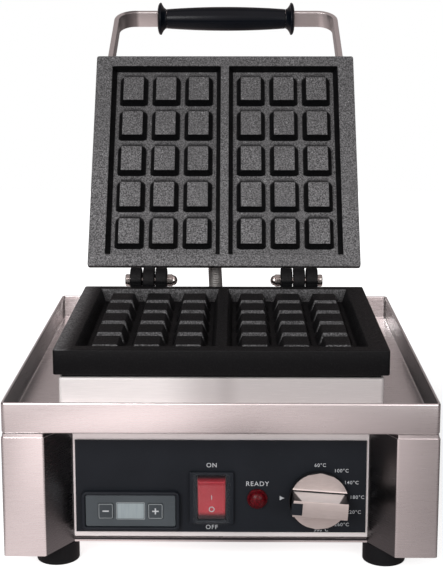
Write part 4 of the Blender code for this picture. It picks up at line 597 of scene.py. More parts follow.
def plastic(made, colour, rough, scale=700.0, texture=0.12, gloss=0.2):
    """Moulded plastic with a fine grain, faint clouds and scuffs."""
    colour = colour_of(colour)
    grain = made.noise(scale, 2.0)
    cloud = made.noise(24.0, 3.0)
    scuff = made.ramp(made.noise(1.0, 4.0, 0.7, made.stretched((70.0, 260.0, 420.0))), 0.60, 0.72)
    base = made.mix(made.ramp(cloud, 0.35, 0.7) * 0.6, colour, scaled(colour, 1.25, 0.001))
    base = made.mix(scuff * 0.22, base, scaled(colour, 1.8, 0.004))
    return {"Base Color": base, "Roughness": rough + grain * 0.05 + scuff * 0.08, "Specular IOR Level": gloss,
            "Normal": made.bump(grain, texture, 0.0002)}


def display_grey(made):
    """Unlit display with faint upright bands."""
    bands = made.ramp(made.noise(1.0, 1.0, 0.5, made.stretched((700.0, 1.0, 40.0))), 0.35, 0.65)
    cloud = made.noise(90.0, 2.0)
    base = made.mix(bands * 0.35 + cloud * 0.2, (0.29, 0.335, 0.355), (0.36, 0.41, 0.425))
    return {"Base Color": base, "Roughness": 0.22 + cloud * 0.06}


def red_plastic(made):
    """Red rocker: painted shade deepens it above its kink and darkens its two ends, with a soft sheen."""
    cloud = made.noise(120.0, 3.0)
    grain = made.noise(900.0, 2.0)
    high = made.part(2)
    # Painted shade: the rocker turns dark above and below these heights.
    clear_of_painted_shade = made.ramp(high, 0.0360, 0.0400) * made.ramp(high, 0.0656, 0.0645)
    red = colour_of("red")
    warm = made.mix(made.ramp(cloud, 0.3, 0.7) * 0.45, red, (0.62, 0.07, 0.085))
    # Painted shade: deeper red above the kink.
    warm = made.mix(made.ramp(high, 0.0610, 0.0618), warm, (0.42, 0.004, 0.018))
    base = made.mix(clear_of_painted_shade, (0.030, 0.006, 0.008), warm)
    return {"Base Color": base, "Roughness": 0.3 + grain * 0.08, "Coat Weight": 0.35,
            "Coat Roughness": 0.2, "Normal": made.bump(grain, 0.08, 0.0002)}


def lamp_red(made):
    """Deep red lens with a facet pattern inside."""
    facets = made.node("ShaderNodeTexVoronoi", {"feature": "F1"}, {"Vector": made.place(), "Scale": 700.0})
    lamp = colour_of("lamp")
    base = made.mix(made.ramp(facets, 0.2, 0.7), lamp, scaled(lamp, 0.45))
    return {"Base Color": base, "Roughness": 0.28 + facets * 0.1, "Coat Weight": 0.05,
            "Coat Roughness": 0.12, "Specular IOR Level": 0.18, "Normal": made.bump(facets, 0.12, 0.0003)}


def clear_plastic(made):
    """Clear splash cover: nearly all transparent, with a hazy sheen."""
    haze = made.noise(160.0, 3.0)
    return {"Base Color": made.mix(haze, (0.12, 0.13, 0.14), (0.25, 0.26, 0.28)),
            "Roughness": 0.16 + haze * 0.1, "Alpha": 0.03 + haze * 0.05, "Specular IOR Level": 0.25}


def satin_knob(made):
    """Satin knob with a fine level grain."""
    streak = made.noise(1.0, 2.0, 0.6, made.stretched((180.0, 900.0, 1500.0)))
    cloud = made.noise(60.0, 3.0)
    knob = colour_of("knob")
    base = made.mix(made.ramp(cloud, 0.35, 0.7) * 0.6, knob, scaled(knob, 0.88))
    base = made.mix(made.ramp(streak, 0.4, 0.7) * 0.35, base, scaled(knob, 1.12))
    return {"Base Color": base, "Roughness": 0.33 + streak * 0.1, "Metallic": 0.75,
            "Normal": made.bump(streak, 0.12, 0.0002)}


def knob_shoulder(made):
    """Upper wall of the knob's bar, lighter by a painted highlight, black by painted shade towards the ends of its
    front edge.
    """
    cloud = made.noise(60.0, 3.0)
    ends = abs(made.part(0) - 0.0703) + (-0.2545 - made.part(1)) * 0.3
    # Painted highlight: lighter than the knob's own satin colour.
    base = made.mix(cloud, (0.86, 0.78, 0.76), (0.95, 0.88, 0.86))
    # Painted shade: black towards the ends of the front edge.
    base = made.mix(made.ramp(ends, 0.0195, 0.0207), base, (0.012, 0.012, 0.014))
    return {"Base Color": base, "Roughness": 0.4 + cloud * 0.1, "Metallic": 0.1}


def chrome(made):
    """Bright plating with light wear."""
    wear = made.noise(300.0, 4.0, 0.7)
    base = made.mix(made.ramp(wear, 0.5, 0.7) * 0.6, (0.74, 0.70, 0.67), (0.42, 0.39, 0.37))
    return {"Base Color": base, "Roughness": 0.13 + wear * 0.14, "Metallic": 1.0,
            "Normal": made.bump(wear, 0.08, 0.0003)}


def stained_metal(made, colour, rough, stain=(70.0, 4.0, 0.65), factor=0.6, metal=0.9, grain=500.0):
    """Plated or heat-darkened steel and the conduit's grey skin, with darker stains."""
    colour, stain = colour_of(colour), made.noise(*stain)
    return {"Base Color": made.mix(made.ramp(stain, 0.35, 0.7), colour, scaled(colour, factor)),
            "Roughness": rough + stain * 0.15, "Metallic": metal,
            "Normal": made.bump(made.noise(grain, 2.0), 0.12, 0.0003)}


def wool(made):
    """Pressed mineral wool."""
    fibre = made.noise(1.0, 5.0, 0.75, made.stretched((240.0, 240.0, 1500.0)))
    base = made.mix(made.ramp(fibre, 0.3, 0.7), (0.46, 0.42, 0.34), (0.68, 0.64, 0.56))
    return {"Base Color": base, "Roughness": 0.95, "Normal": made.bump(fibre, 0.8, 0.001)}


FINISHES = {
    "brushed_stainless": brushed,
    # Plate box skirt: a painted reflection darkens it to the right.
    "thin_stainless": partial(brushed, colour=(1.0, 0.945, 0.935), rough=0.24, wave=0.10, metal=0.04, fade=0.52),
    # Drip tray: painted shade on its inner walls.
    "tray_stainless": partial(brushed, walls=0.95),
    "rim_stainless": partial(brushed, colour=(1.0, 0.94, 0.935), rough=0.3, metal=0.3),
    # Side panels: painted shade on their slanted cheeks.
    "panel_stainless": partial(brushed, shade=0.86),
    # Bottom plate lip: a painted shadow line along its upper edge.
    "lip_stainless": lip_steel,
    # Handle strip: a painted reflection darkens a strip inside its left bend.
    "satin_strip": partial(brushed, colour="strip", rough=0.36, bends=0.75),
    "cast_iron": cast_iron,
    "fascia_black": partial(plastic, colour="fascia", rough=0.42, scale=1400.0, texture=0.05, gloss=0.12),
    "gloss_black": partial(plastic, colour="gloss", rough=0.2, scale=500.0, texture=0.04, gloss=0.16),
    "matte_black": partial(plastic, colour="matte", rough=0.40, scale=900.0, texture=0.15, gloss=0.15),
    "black_rubber": partial(plastic, colour=(0.006, 0.006, 0.007), rough=0.62, scale=420.0, texture=0.35,
                            gloss=0.15),
    "keypad_grey": partial(plastic, colour=(0.068, 0.078, 0.086), rough=0.27, scale=800.0, texture=0.06),
    "key_grey": partial(plastic, colour=(0.050, 0.058, 0.065), rough=0.3, scale=800.0, texture=0.06),
    "knob_black": partial(plastic, colour=(0.012, 0.012, 0.014), rough=0.45, texture=0.1),
    "printed_grey": partial(plastic, colour=(0.30, 0.32, 0.33), rough=0.4, scale=800.0, texture=0.04),
    "printed_white": partial(plastic, colour=(0.50, 0.51, 0.53), rough=0.5, scale=800.0, texture=0.04),
    "terminal_white": partial(plastic, colour=(0.60, 0.58, 0.53), rough=0.5, scale=500.0, texture=0.15),
    "display_grey": display_grey,
    "rocker_red": red_plastic,
    "lamp_red": lamp_red,
    "clear_cover": clear_plastic,
    "satin_knob": satin_knob,
    "knob_shoulder": knob_shoulder,
    "bright_plating": chrome,
    "thermostat_steel": partial(stained_metal, colour=(0.40, 0.39, 0.38), rough=0.3),
    "element_steel": partial(stained_metal, colour=(0.16, 0.14, 0.13), rough=0.45),
    "conduit_skin": partial(stained_metal, colour="conduit", rough=0.42, stain=(120.0, 3.0, 0.6), factor=0.7,
                            metal=0.75, grain=800.0),
    "mineral_wool": wool,
}


# Pieces


class WAFFLE_OT_tray(bpy.types.Operator):
    """Drip tray: a section of floor, bend, wall and round hem carried round a rounded rectangle"""
    bl_idname = "waffle.tray"
    bl_label = "Drip tray"

    def execute(self, context):
        low, high = corners("tray_pan")
        centre = (low + high) / 2
        size = (high - low) / 2
        sheet, hem, bend = SHEET, 1.2 * MM, sizes().tray_bend
        floor = low[2] + sheet
        down = quarter(6)
        over = np.linspace(0, np.pi, 11)
        fold = high[2] - 3.0 * MM
        inset = chain(26 * MM, sheet + bend * (1 - np.sin(down)), sheet, sheet + 0.9 * MM,
                      sheet + hem * np.cos(over), bend * (1 - np.cos(down)))
        level = chain(floor, floor + bend * (1 - np.cos(down)), fold - 0.3 * MM, fold,
                      high[2] - hem + hem * np.sin(over), low[2] + bend * (1 - np.sin(down)))
        radius = np.maximum(3.2 * MM - inset, 0.4 * MM)
        rings = on_floor(raised(rounded_ring(size[0] - inset, size[1] - inset, radius), level),
                         centre[0], centre[1])
        Surface().tube(rings).piece("drip_tray", "base", "brushed_stainless", "tray_stainless", ["tray_pan"])
        return {"FINISHED"}


class WAFFLE_OT_side_panels(bpy.types.Operator):
    """Side panels: an upright sheet carried round the slanted cheek, the front leg, the side and the rear leg"""
    bl_idname = "waffle.side_panels"
    bl_label = "Side panels"

    def execute(self, context):
        low, high = corners("right_side_panel")
        inner, leg, wide = 106.3 * MM, 123.2 * MM, high[0] + 0.4 * MM
        cheek_depth, top, upstand = 26.9 * MM, high[2] - 2.6 * MM, 8 * MM
        plan = [(inner, low[1] + cheek_depth), (leg, low[1]), (wide, low[1]), (wide, high[1]), (leg, high[1])]
        for name, side in (("left_side_panel", -1), ("right_side_panel", 1)):
            path = (filleted(plan, sizes().panel_bend) * np.array([side, 1]))[::side]
            inward = path + plan_normals(path) * 0.8 * MM
            surface = Surface().tube(sheet_rings(path, low[2], top, 0.3 * MM))
            surface.tube(sheet_rings(inward, top - upstand, high[2], 0.2 * MM))
            surface.piece(name + "_sheet", "base", "brushed_stainless", "panel_stainless", [name])
        return {"FINISHED"}


class WAFFLE_OT_front_panel(bpy.types.Operator):
    """Front panel: an L section with a round fold, drawn out along the front"""
    bl_idname = "waffle.front_panel"
    bl_label = "Front panel"

    def execute(self, context):
        low, high = corners("front_panel")
        low[2] -= 1.9 * MM
        sheet, bend = SHEET, 1.6 * MM
        turn = quarter(6)
        outer = np.column_stack([low[1] + bend * (1 - np.cos(turn)), low[2] + bend * (1 - np.sin(turn))])
        small = bend - sheet
        inner = np.column_stack([low[1] + bend - small * np.cos(turn), low[2] + bend - small * np.sin(turn)])
        section = chain([[low[1], high[2]]], outer, [[high[1], low[2]], [high[1], low[2] + sheet]], inner[::-1],
                        [[low[1] + sheet, high[2]]])
        Surface().tube(extruded(section, low[0], high[0])).piece(
            "front_panel_sheet", "base", "brushed_stainless", "rim_stainless", ["front_panel"])
        return {"FINISHED"}


class WAFFLE_OT_feet(bpy.types.Operator):
    """Feet: turned rubber blocks with round edges"""
    bl_idname = "waffle.feet"
    bl_label = "Feet"

    def execute(self, context):
        for place in ("front_left", "front_right", "rear_left", "rear_right"):
            node = "foot_" + place
            centre, size = middle(node), half(node)
            top = size[2] * 2
            turn = quarter(6)
            edge = 0.7 * MM
            radius = chain(5.5 * MM, 5.5 * MM, size[0] - edge + edge * np.sin(turn),
                           size[0] - edge + edge * np.cos(turn), 2.3 * MM)
            level = chain(7 * MM, 0, edge * (1 - np.cos(turn)), top - edge + edge * np.sin(turn), top)
            rings = on_floor(turned(radius, level, 64), centre[0], centre[1])
            Surface().tube(rings).piece("rubber_" + node, "base", "foot_rubber", "black_rubber", [node])
        return {"FINISHED"}


POCKET_X, POCKET_Y, POCKET_DEPTH = 52.1 * MM, 96.7 * MM, 11.5 * MM
POCKET_DRAFT_X, POCKET_DRAFT_Y = 3.8 * MM, 0.6 * MM
BLOCK_X, BLOCK_Y, BLOCK_HEIGHT = 9.5 * MM, 12.4 * MM, 10.0 * MM
BLOCK_DRAFT_X, BLOCK_DRAFT_Y = 4.0 * MM, 1.7 * MM
PITCH_X, PITCH_Y = 31.2 * MM, 36.7 * MM
POCKET_CENTRE = 56.0 * MM
UPPER_FRONT_DRAFT = 4.4 * MM


def plate_lines(outer, pitch, count, top, draft, pocket, pocket_draft, centres):
    """Places of a plate's grid lines along one axis: close together at every edge of a block or pocket."""
    flank = chain(0, top * 0.55, top + mm(-1.8, -0.9, -0.4, -0.12), top + draft * np.linspace(0.03, 1, 6),
                  top + draft + 0.4 * MM, top + draft + 1 * MM)
    block = chain(-flank[::-1], flank)
    side = pocket - pocket_draft * np.linspace(0, 1, 7)
    side = chain(pocket + 1.2 * MM, pocket + 0.5 * MM, pocket + 0.15 * MM, side, side[-1] - mm(0.4, 1.0))
    blocks = (np.arange(count) - (count - 1) / 2) * pitch
    lines = chain((blocks[:, None] + block).ravel(), side, -side)
    every = np.concatenate([lines + centre for centre in centres] + [[outer, -outer]])
    every = np.unique(np.round(every[np.abs(every) <= outer + 1e-9], 6))
    keep = chain(True, np.diff(every) > 0.06 * MM)
    every = every[keep]
    every[-1] = outer
    return every


def soft_least(first, second, width):
    """The smaller of two heights, rounded over a width where they meet."""
    share = np.clip(0.5 + 0.5 * (second - first) / width, 0, 1)
    return second + (first - second) * share - width * share * (1 - share)


def outside(across, along, corner):
    """How far a place lies outside a rectangle, in drafts: the larger distance, or a rounded one at a corner."""
    a, b = np.maximum(across + corner, 0), np.maximum(along + corner, 0)
    return np.where((a > 0) & (b > 0), np.hypot(a, b), np.maximum(across, along) + corner) - corner


def plate_depth(x, y, front_draft):
    """Depth of a plate's face below its rim.

    A pocket falls with its draft from its outline to its floor, and each block rises from the floor with its
    own drafts. Both are heights per draft times the distance outside their rectangles.
    """
    soft, wide_soft = sizes().block_softness, sizes().block_softness * 1.6
    x, y = np.meshgrid(x, y)
    from_x, from_y = np.abs(np.abs(x) - POCKET_CENTRE), np.abs(y)
    wall = -outside((from_x - POCKET_X) / POCKET_DRAFT_X, (from_y - POCKET_Y) / POCKET_DRAFT_Y, 0.7) * POCKET_DEPTH
    pocket = soft_least(wall, POCKET_DEPTH, wide_soft)
    pocket = -soft_least(-pocket, 0, soft)
    columns = np.abs((from_x + PITCH_X / 2) % PITCH_X - PITCH_X / 2)
    rows = (y + PITCH_Y / 2) % PITCH_Y - PITCH_Y / 2
    draft = np.where(rows < 0, front_draft, BLOCK_DRAFT_Y)
    gap = outside((columns - BLOCK_X) / BLOCK_DRAFT_X, (np.abs(rows) - BLOCK_Y) / draft, 0.25)
    rise = soft_least(BLOCK_HEIGHT * (1 - gap), BLOCK_HEIGHT, soft)
    rise = -soft_least(-rise, 0, wide_soft)
    inside = (from_x < 1.5 * PITCH_X) & (from_y < 2.5 * PITCH_Y)
    return pocket - np.where(inside, rise, 0)


def rim_path(lines_x, lines_y, steps):
    """Points round the edge of a grid, with each corner repeated, and the directions outwards.

    The directions turn evenly through a quarter turn over a corner's copies.
    """
    x0, x1, y0, y1 = lines_x[0], lines_x[-1], lines_y[0], lines_y[-1]
    sides = [np.column_stack([lines_x, np.full(len(lines_x), y0)]),
             np.column_stack([np.full(len(lines_y), x1), lines_y]),
             np.column_stack([lines_x[::-1], np.full(len(lines_x), y1)]),
             np.column_stack([np.full(len(lines_y), x0), lines_y[::-1]])]
    points, directions = [], []
    for index, line in enumerate(sides):
        start = -np.pi / 2 + index * np.pi / 2
        points.append(line)
        directions.append(np.broadcast_to([np.cos(start), np.sin(start)], line.shape))
        turn = start + quarter(steps + 1)[1:-1]
        points.append(np.broadcast_to(line[-1], (len(turn), 2)))
        directions.append(np.column_stack([np.cos(turn), np.sin(turn)]))
    return np.concatenate(points), np.concatenate(directions)


def ear_outline(low, high, inset, root):
    """Side view of a hinge ear for each inset: its root and the arc about the bolt.

    The arc runs clockwise from where the root's top meets it to where the root's underside does.
    """
    radius = EAR_RADIUS - inset
    start = math.pi - math.asin(np.clip(high / EAR_RADIUS, -1, 1))
    end = -math.pi + math.asin(np.clip(-low / EAR_RADIUS, -1, 1))
    turn = np.linspace(start, end, 44)
    arc = np.stack([radius[:, None] * np.cos(turn), radius[:, None] * np.sin(turn)], -1)
    root_low = np.stack([np.full_like(inset, root), low + inset], -1)[:, None]
    root_high = np.stack([np.full_like(inset, root), high - inset], -1)[:, None]
    return np.concatenate([root_low, root_high, arc], 1)


def left_rim(x):
    """How much a place belongs to the outer part of the left rim, which is painted lighter as a sheen."""
    return np.clip((-0.109 - x) / 0.012, 0, 1)


def plate_surface(opened_lid):
    """A plate: its pocketed face as heights on a grid, then its edge and back as rings round the grid's rim."""
    edge, corner = sizes().plate_edge, 2.2 * MM
    half_x, half_y = PLATE_HALF_X - corner, PLATE_LENGTH / 2 - corner
    lines_x = plate_lines(half_x, PITCH_X, 3, BLOCK_X, BLOCK_DRAFT_X, POCKET_X, POCKET_DRAFT_X,
                          (-POCKET_CENTRE, POCKET_CENTRE))
    lines_y = np.union1d(plate_lines(half_y, PITCH_Y, 5, BLOCK_Y, BLOCK_DRAFT_Y, POCKET_Y, POCKET_DRAFT_Y, (0.0,)),
                         (np.arange(5)[:, None] - 2) * PITCH_Y - BLOCK_Y - mm(2.4, 2.9, 3.4, 4.4))
    depth = plate_depth(lines_x, lines_y, UPPER_FRONT_DRAFT if opened_lid else BLOCK_DRAFT_Y)
    slope_y, slope_x = np.gradient(depth, lines_y, lines_x)
    level = 1 / np.sqrt(1 + slope_x ** 2 + slope_y ** 2)
    # Painted light and shade: on the open lid the flat faces are grey and the steep walls black; on the base the
    # walls that face the front are grey, and the outer left rim gets a painted sheen.
    if opened_lid:
        worn = np.clip((level - 0.5) / 0.3, 0, 1)
    else:
        facing = np.clip((-slope_y * level - 0.86) / 0.08, 0, 1)
        left = left_rim(lines_x)[None, :] * (level > 0.9)
        worn = np.maximum(facing * 0.55, left * 0.8)
    face = np.stack(np.broadcast_arrays(lines_x[None, :], lines_y[:, None], depth), -1)
    turn = quarter(5)
    border, outward = rim_path(lines_x, lines_y, 6)
    thick, lip, step, thin = 21.8 * MM, 19 * MM, 5.8 * MM, 6 * MM
    undercut, low = (0.5 * MM, thin) if opened_lid else (0.6 * MM, lip)
    shift = chain(0, corner - edge + edge * np.sin(turn), corner, corner - undercut, corner - step, corner - step)
    fall = chain(0, edge * (1 - np.cos(turn)), low - 0.6 * MM, low, lip, thick)
    limit = np.array([half_x, half_y])
    plans = [np.clip(border, -limit + max(-out, 0), limit - max(-out, 0)) + outward * max(out, 0) for out in shift]
    rings = raised(np.stack(plans), fall)
    if opened_lid:
        # Only the rear edge is thin: elsewhere the edge keeps its full thickness.
        full = chain(0, edge * (1 - np.cos(turn)), lip - 0.6 * MM, lip, lip, thick)
        depths = np.where(rings[..., 1] < half_y - 4 * MM, full[:, None], rings[..., 2])
        behind = half_y + corner - (depths - thin) * 16 * MM / (thick - thin)
        rings[..., 1] = np.where(depths > thin, np.minimum(rings[..., 1], behind), rings[..., 1])
        rings[..., 2] = depths
    return face, rings, worn


class WAFFLE_OT_plates(bpy.types.Operator):
    """Cast plates with their pockets, blocks, edges and hinge ears"""
    bl_idname = "waffle.plates"
    bl_label = "Cast plates"

    def execute(self, context):
        lift = PLATE_LENGTH / 2
        for name, open_lid in (("lower_plate", False), ("upper_plate", True)):
            face, rings, worn = plate_surface(open_lid)

            def laid(points):
                if open_lid:
                    placed = np.stack([points[..., 0], LID_FRONT + lift + points[..., 1],
                                       PARTING + points[..., 2]], -1)
                    return opened(placed)
                return np.stack([points[..., 0], PLATE_FRONT + lift + points[..., 1],
                                 PLATE_TOP - points[..., 2]], -1)

            # Painted light and shade on the edge rings: grey on the lid's rim, dark on the base, with a painted
            # sheen on the base's outer left rim.
            edges = np.full(rings.shape[:2], 1.0 if open_lid else 0.05)
            edges[5:] = 0.12 if open_lid else 0.0
            if not open_lid:
                edges[:4] = np.maximum(edges[:4], left_rim(rings[:4, :, 0]) * 0.8)
            surface = Surface().grid(laid(face), value=worn).rings(laid(rings), value=edges).cap(laid(rings[-1]))
            self.ears(surface, open_lid)
            surface.piece("cast_" + name, "lid" if open_lid else "base",
                          "upper_cast_iron" if open_lid else "lower_cast_iron", "cast_iron", [name],
                          sharp=50, attribute="worn")
        return {"FINISHED"}

    @staticmethod
    def ears(surface, open_lid):
        """Hinge ears: the outline about the bolt, drawn along X with rounded rims."""
        inset, fall = quarter_round(1.1 * MM)
        insets = chain(inset[::-1], inset)
        spans, low, high, taller = mm((-16.5, -6.2), (6.2, 16.5)), -19.1 * MM, -4.1 * MM, 1.1
        if open_lid:
            spans, low, high, taller = mm((-5.2, 5.2)), -0.8 * MM, 5.2 * MM, 1.0
        outline = ear_outline(low, high, insets, -13.6 * MM)
        outline = outline * np.where(outline[..., 1:] > 0, taller, 1.0)
        for hinge in (-HINGE_X, HINGE_X):
            for start, end in hinge + spans:
                place = chain(start + fall[::-1], end - fall)
                points = np.concatenate([np.broadcast_to(place[:, None, None], (*outline.shape[:2], 1)),
                                         outline], -1)
                surface.tube(opened(points) if open_lid else on_floor(points, 0, HINGE_Y, HINGE_Z), value=0.03)


class WAFFLE_OT_hinge_hardware(bpy.types.Operator):
    """Hinge bolts and acorn nuts: chamfered hexagons, a washer face and a dome"""
    bl_idname = "waffle.hinge_hardware"
    bl_label = "Hinge bolts and nuts"

    def execute(self, context):
        half_stack, apothem, reach, shank = 16.8 * MM, 4.94 * MM, 5.6 * MM, 3.0 * MM
        head = hexagon(apothem, reach, mm(0, 0.4, 0.6, 3.3, 4.2), mm(0.5, 0.5, 0, 0, 0.9))
        rod = turned([shank, shank], [-2 * half_stack - 4 * MM, 0.3 * MM], 32)
        nut = hexagon(apothem, reach, mm(0, 0.3, 0.5, 4.2, 4.9), mm(0.5, 0.5, 0, 0, 0.8))
        turn = quarter(12)
        dome = turned(chain(4.6 * MM, 4.6 * MM * np.cos(turn)),
                      chain(4.0 * MM, 4.7 * MM + 4.25 * MM * np.sin(turn)), 48)
        for label, side in (("left", -1), ("right", 1)):
            out, back = side * (HINGE_X + half_stack), side * (HINGE_X - half_stack)
            Surface().tube(on_hinge(head, out, side)).tube(on_hinge(rod, out, side)).piece(
                "hinge_bolt_bright_" + label, "base", "fastener_chrome", "bright_plating", ["hinge_bolt_" + label])
            Surface().tube(on_hinge(nut, back, -side)).tube(on_hinge(dome, back, -side)).piece(
                "acorn_nut_" + label, "base", "fastener_chrome", "bright_plating", ["hinge_nut_" + label])
        return {"FINISHED"}


class WAFFLE_OT_plate_box(bpy.types.Operator):
    """Skirt under the lower plate: a wall with round corners and a flange turned in at its top"""
    bl_idname = "waffle.plate_box"
    bl_label = "Plate box"

    def execute(self, context):
        low, high = corners("plate_box")
        centre, size = (low + high) / 2, (high - low) / 2
        turn = quarter(5)
        bend = 1.4 * MM
        flange = 8 * MM
        inset = chain(SHEET, 0, 0, bend * (1 - np.cos(turn)), flange, flange, SHEET)
        level = chain(low[2], low[2], low[2] + 2 * MM, high[2] - bend + bend * np.sin(turn), high[2],
                      high[2] - SHEET, high[2] - SHEET)
        radius = np.maximum(3 * MM - inset, 0.5 * MM)
        rings = on_floor(raised(rounded_ring(size[0] - inset, size[1] - inset, radius), level),
                         centre[0], centre[1])
        Surface().grid(rings, round_rows=True, round_columns=True).piece(
            "plate_box_skirt", "base", "brushed_stainless", "thin_stainless", ["plate_box"])
        return {"FINISHED"}


class WAFFLE_OT_lid_cover(bpy.types.Operator):
    """Lid cover: a pan with round upright corners and a rounded top edge, built closed and then opened"""
    bl_idname = "waffle.lid_cover"
    bl_label = "Lid cover"

    def execute(self, context):
        bottom, height, edge, wall = COVER_BOTTOM, 40 * MM, 4.5 * MM, 1.0 * MM
        front, back, half_x = LID_FRONT + 10.3 * MM, LID_BACK, 111.7 * MM
        inset, fall = quarter_round(edge, 6)
        inner_inset, inner_fall = quarter_round(edge - wall, 6)
        insets = chain(0, inset, (wall + inner_inset)[::-1], wall)
        levels = chain(bottom, bottom + height - fall, (bottom + height - wall - inner_fall)[::-1], bottom)
        size_y = (back - front) / 2
        radius = np.maximum(6 * MM - insets, 0.8 * MM)
        rings = raised(rounded_ring(half_x - insets, size_y - insets, radius), levels)
        rings = on_floor(rings, 0, (front + back) / 2)
        count = 1 + len(inset)
        outer, inner = opened(rings[:count]), opened(rings[count:])
        surface = Surface().rings(outer).cap(outer[-1]).rings(inner).cap(inner[0])
        surface.rings(np.stack([inner[-1], outer[0]])).piece(
            "lid_cover_pan", "lid", "brushed_stainless", "brushed_stainless", ["lid_cover"])
        return {"FINISHED"}


def handle_path():
    """Centre line of the handle strip on the closed lid, with its thickness and width directions.

    An arm runs forward beside the cover, bends up its slope, rounds a corner and crosses to the other arm.
    """
    slope = GRIP_SLOPE
    arm_x, level, corner = 114.5 * MM, 29 * MM, 18.5 * MM
    bend_y = GRIP_Y + (GRIP_Z - level) / math.tan(slope)
    forward = np.array([0, -math.cos(slope), math.sin(slope)])
    normal = np.array([0, math.sin(slope), math.cos(slope)])
    arm = filleted([(0, LID_FRONT + 85.3 * MM, level), (0, bend_y, level),
                    np.array([0, GRIP_Y, GRIP_Z]) - forward * corner], 14 * MM, 10)
    lean = np.clip((bend_y + 4.2 * MM - arm[:, 1]) / (8 * MM), 0, 1)[:, None]
    lean = lean * lean * (3 - 2 * lean)
    width = np.array([0, 0, 1]) * (1 - lean) + normal * lean
    width /= np.linalg.norm(width, axis=1, keepdims=True)
    arm = arm + np.array([arm_x, 0, 0])
    turn = quarter(17)[1:, None]
    outward = np.array([1, 0, 0]) * np.cos(turn) + forward * np.sin(turn)
    centre = np.array([arm_x - corner, GRIP_Y, GRIP_Z]) - forward * corner
    path = chain(arm, centre + outward * corner)
    across = chain(np.broadcast_to([1.0, 0, 0], arm.shape), outward)
    width = chain(width, np.broadcast_to(normal, outward.shape))
    flip = np.array([-1, 1, 1])
    return (chain(path, (path * flip)[::-1]), chain(across, (across * flip)[::-1]),
            chain(width, width[::-1]))


class WAFFLE_OT_handle(bpy.types.Operator):
    """Handle: a flat strip carried along its path, a swelling grip and two flared collars"""
    bl_idname = "waffle.handle"
    bl_label = "Handle"

    def execute(self, context):
        path, across, width = handle_path()
        section = rounded_ring(2.5 * MM, 8.5 * MM, 0.7 * MM, 3)[0]
        Surface().tube(opened(carried(path, across, width, section))).piece(
            "handle_strip", "lid", "handle_strip_steel", "satin_strip", ["handle_bracket"])
        steps, bore, neck, bulge = sizes().round_steps, 9 * MM, 10.25 * MM, 2.3 * MM
        share, half_length = np.linspace(-1, 1, 41), 62.5 * MM
        radius = chain(bore, neck + bulge * (1 - share ** 2), bore)
        along = chain(-half_length - 0.25 * MM, share * half_length, half_length + 0.25 * MM)
        Surface().tube(self.about_grip(turned(radius, along, steps), 1)).piece(
            "moulded_grip", "lid", "black_gloss_plastic", "gloss_black", ["handle_grip"])
        outer = half("grip_collar_left")[1] - 0.01 * MM
        tip, bore, length_out, back = 1.3 * MM, 8.4 * MM, 4.9 * MM, 3.2 * MM
        flare, lip, down = np.linspace(0, 1, 14), quarter(5)[1:], quarter(12)[1:]
        radius = chain(9.6 * MM, neck + (outer - tip - neck) * flare ** 1.9, outer - tip + tip * np.sin(lip),
                       bore + (outer - bore) * np.cos(down))
        along = chain(0, flare * length_out, length_out + tip * (1 - np.cos(lip)),
                      length_out + tip + back * np.sin(down))
        for name, side in (("left", -1), ("right", 1)):
            Surface().tube(self.about_grip(turned(radius, 63.05 * MM + along, steps), side)).piece(
                "flared_collar_" + name, "lid", "black_gloss_plastic", "gloss_black", ["grip_collar_" + name],
                sharp=60)
        return {"FINISHED"}

    @staticmethod
    def about_grip(rings, side):
        """Lays rings turned about the grip's axis on the open lid."""
        x, y, z = (rings[..., i] for i in range(3))
        cosine, sine = math.cos(GRIP_SLOPE), math.sin(GRIP_SLOPE)
        return opened(np.stack([side * z, GRIP_Y + x * cosine + y * sine, GRIP_Z - x * sine + y * cosine], -1))


def conduit_path():
    """Centre line of the conduit: two straight ends joined by a cubic curve, from the lid to the tray."""
    gap, nut, straight = 0.3 * MM, 8 * MM, 3.175 * MM
    wall = opened(np.array([FITTING_X, LID_BACK, FITTING_LEVEL]))
    way, up = np.array([0, math.cos(OPEN_ANGLE), -math.sin(OPEN_ANGLE)]), np.array([0, 0, 1])
    start = wall - way * 3 * MM
    first = wall + way * (gap + nut + straight)
    last = middle("conduit_nut_base")
    last[2] = corners("conduit_nut_base")[1][2] + straight
    end = last - up * (straight + nut + 3.5 * MM)
    t = np.linspace(0, 1, 60)[:, None]
    first_handle, last_handle = first + way * 12 * MM, last + up * 12 * MM
    curve = (first * (1 - t) ** 3 + first_handle * 3 * t * (1 - t) ** 2
             + last_handle * 3 * t * t * (1 - t) + last * t ** 3)
    curve[:, 0] = first[0] + (last[0] - first[0]) * (first[2] - curve[:, 2]) / (first[2] - last[2])
    return np.vstack([start, curve, end])


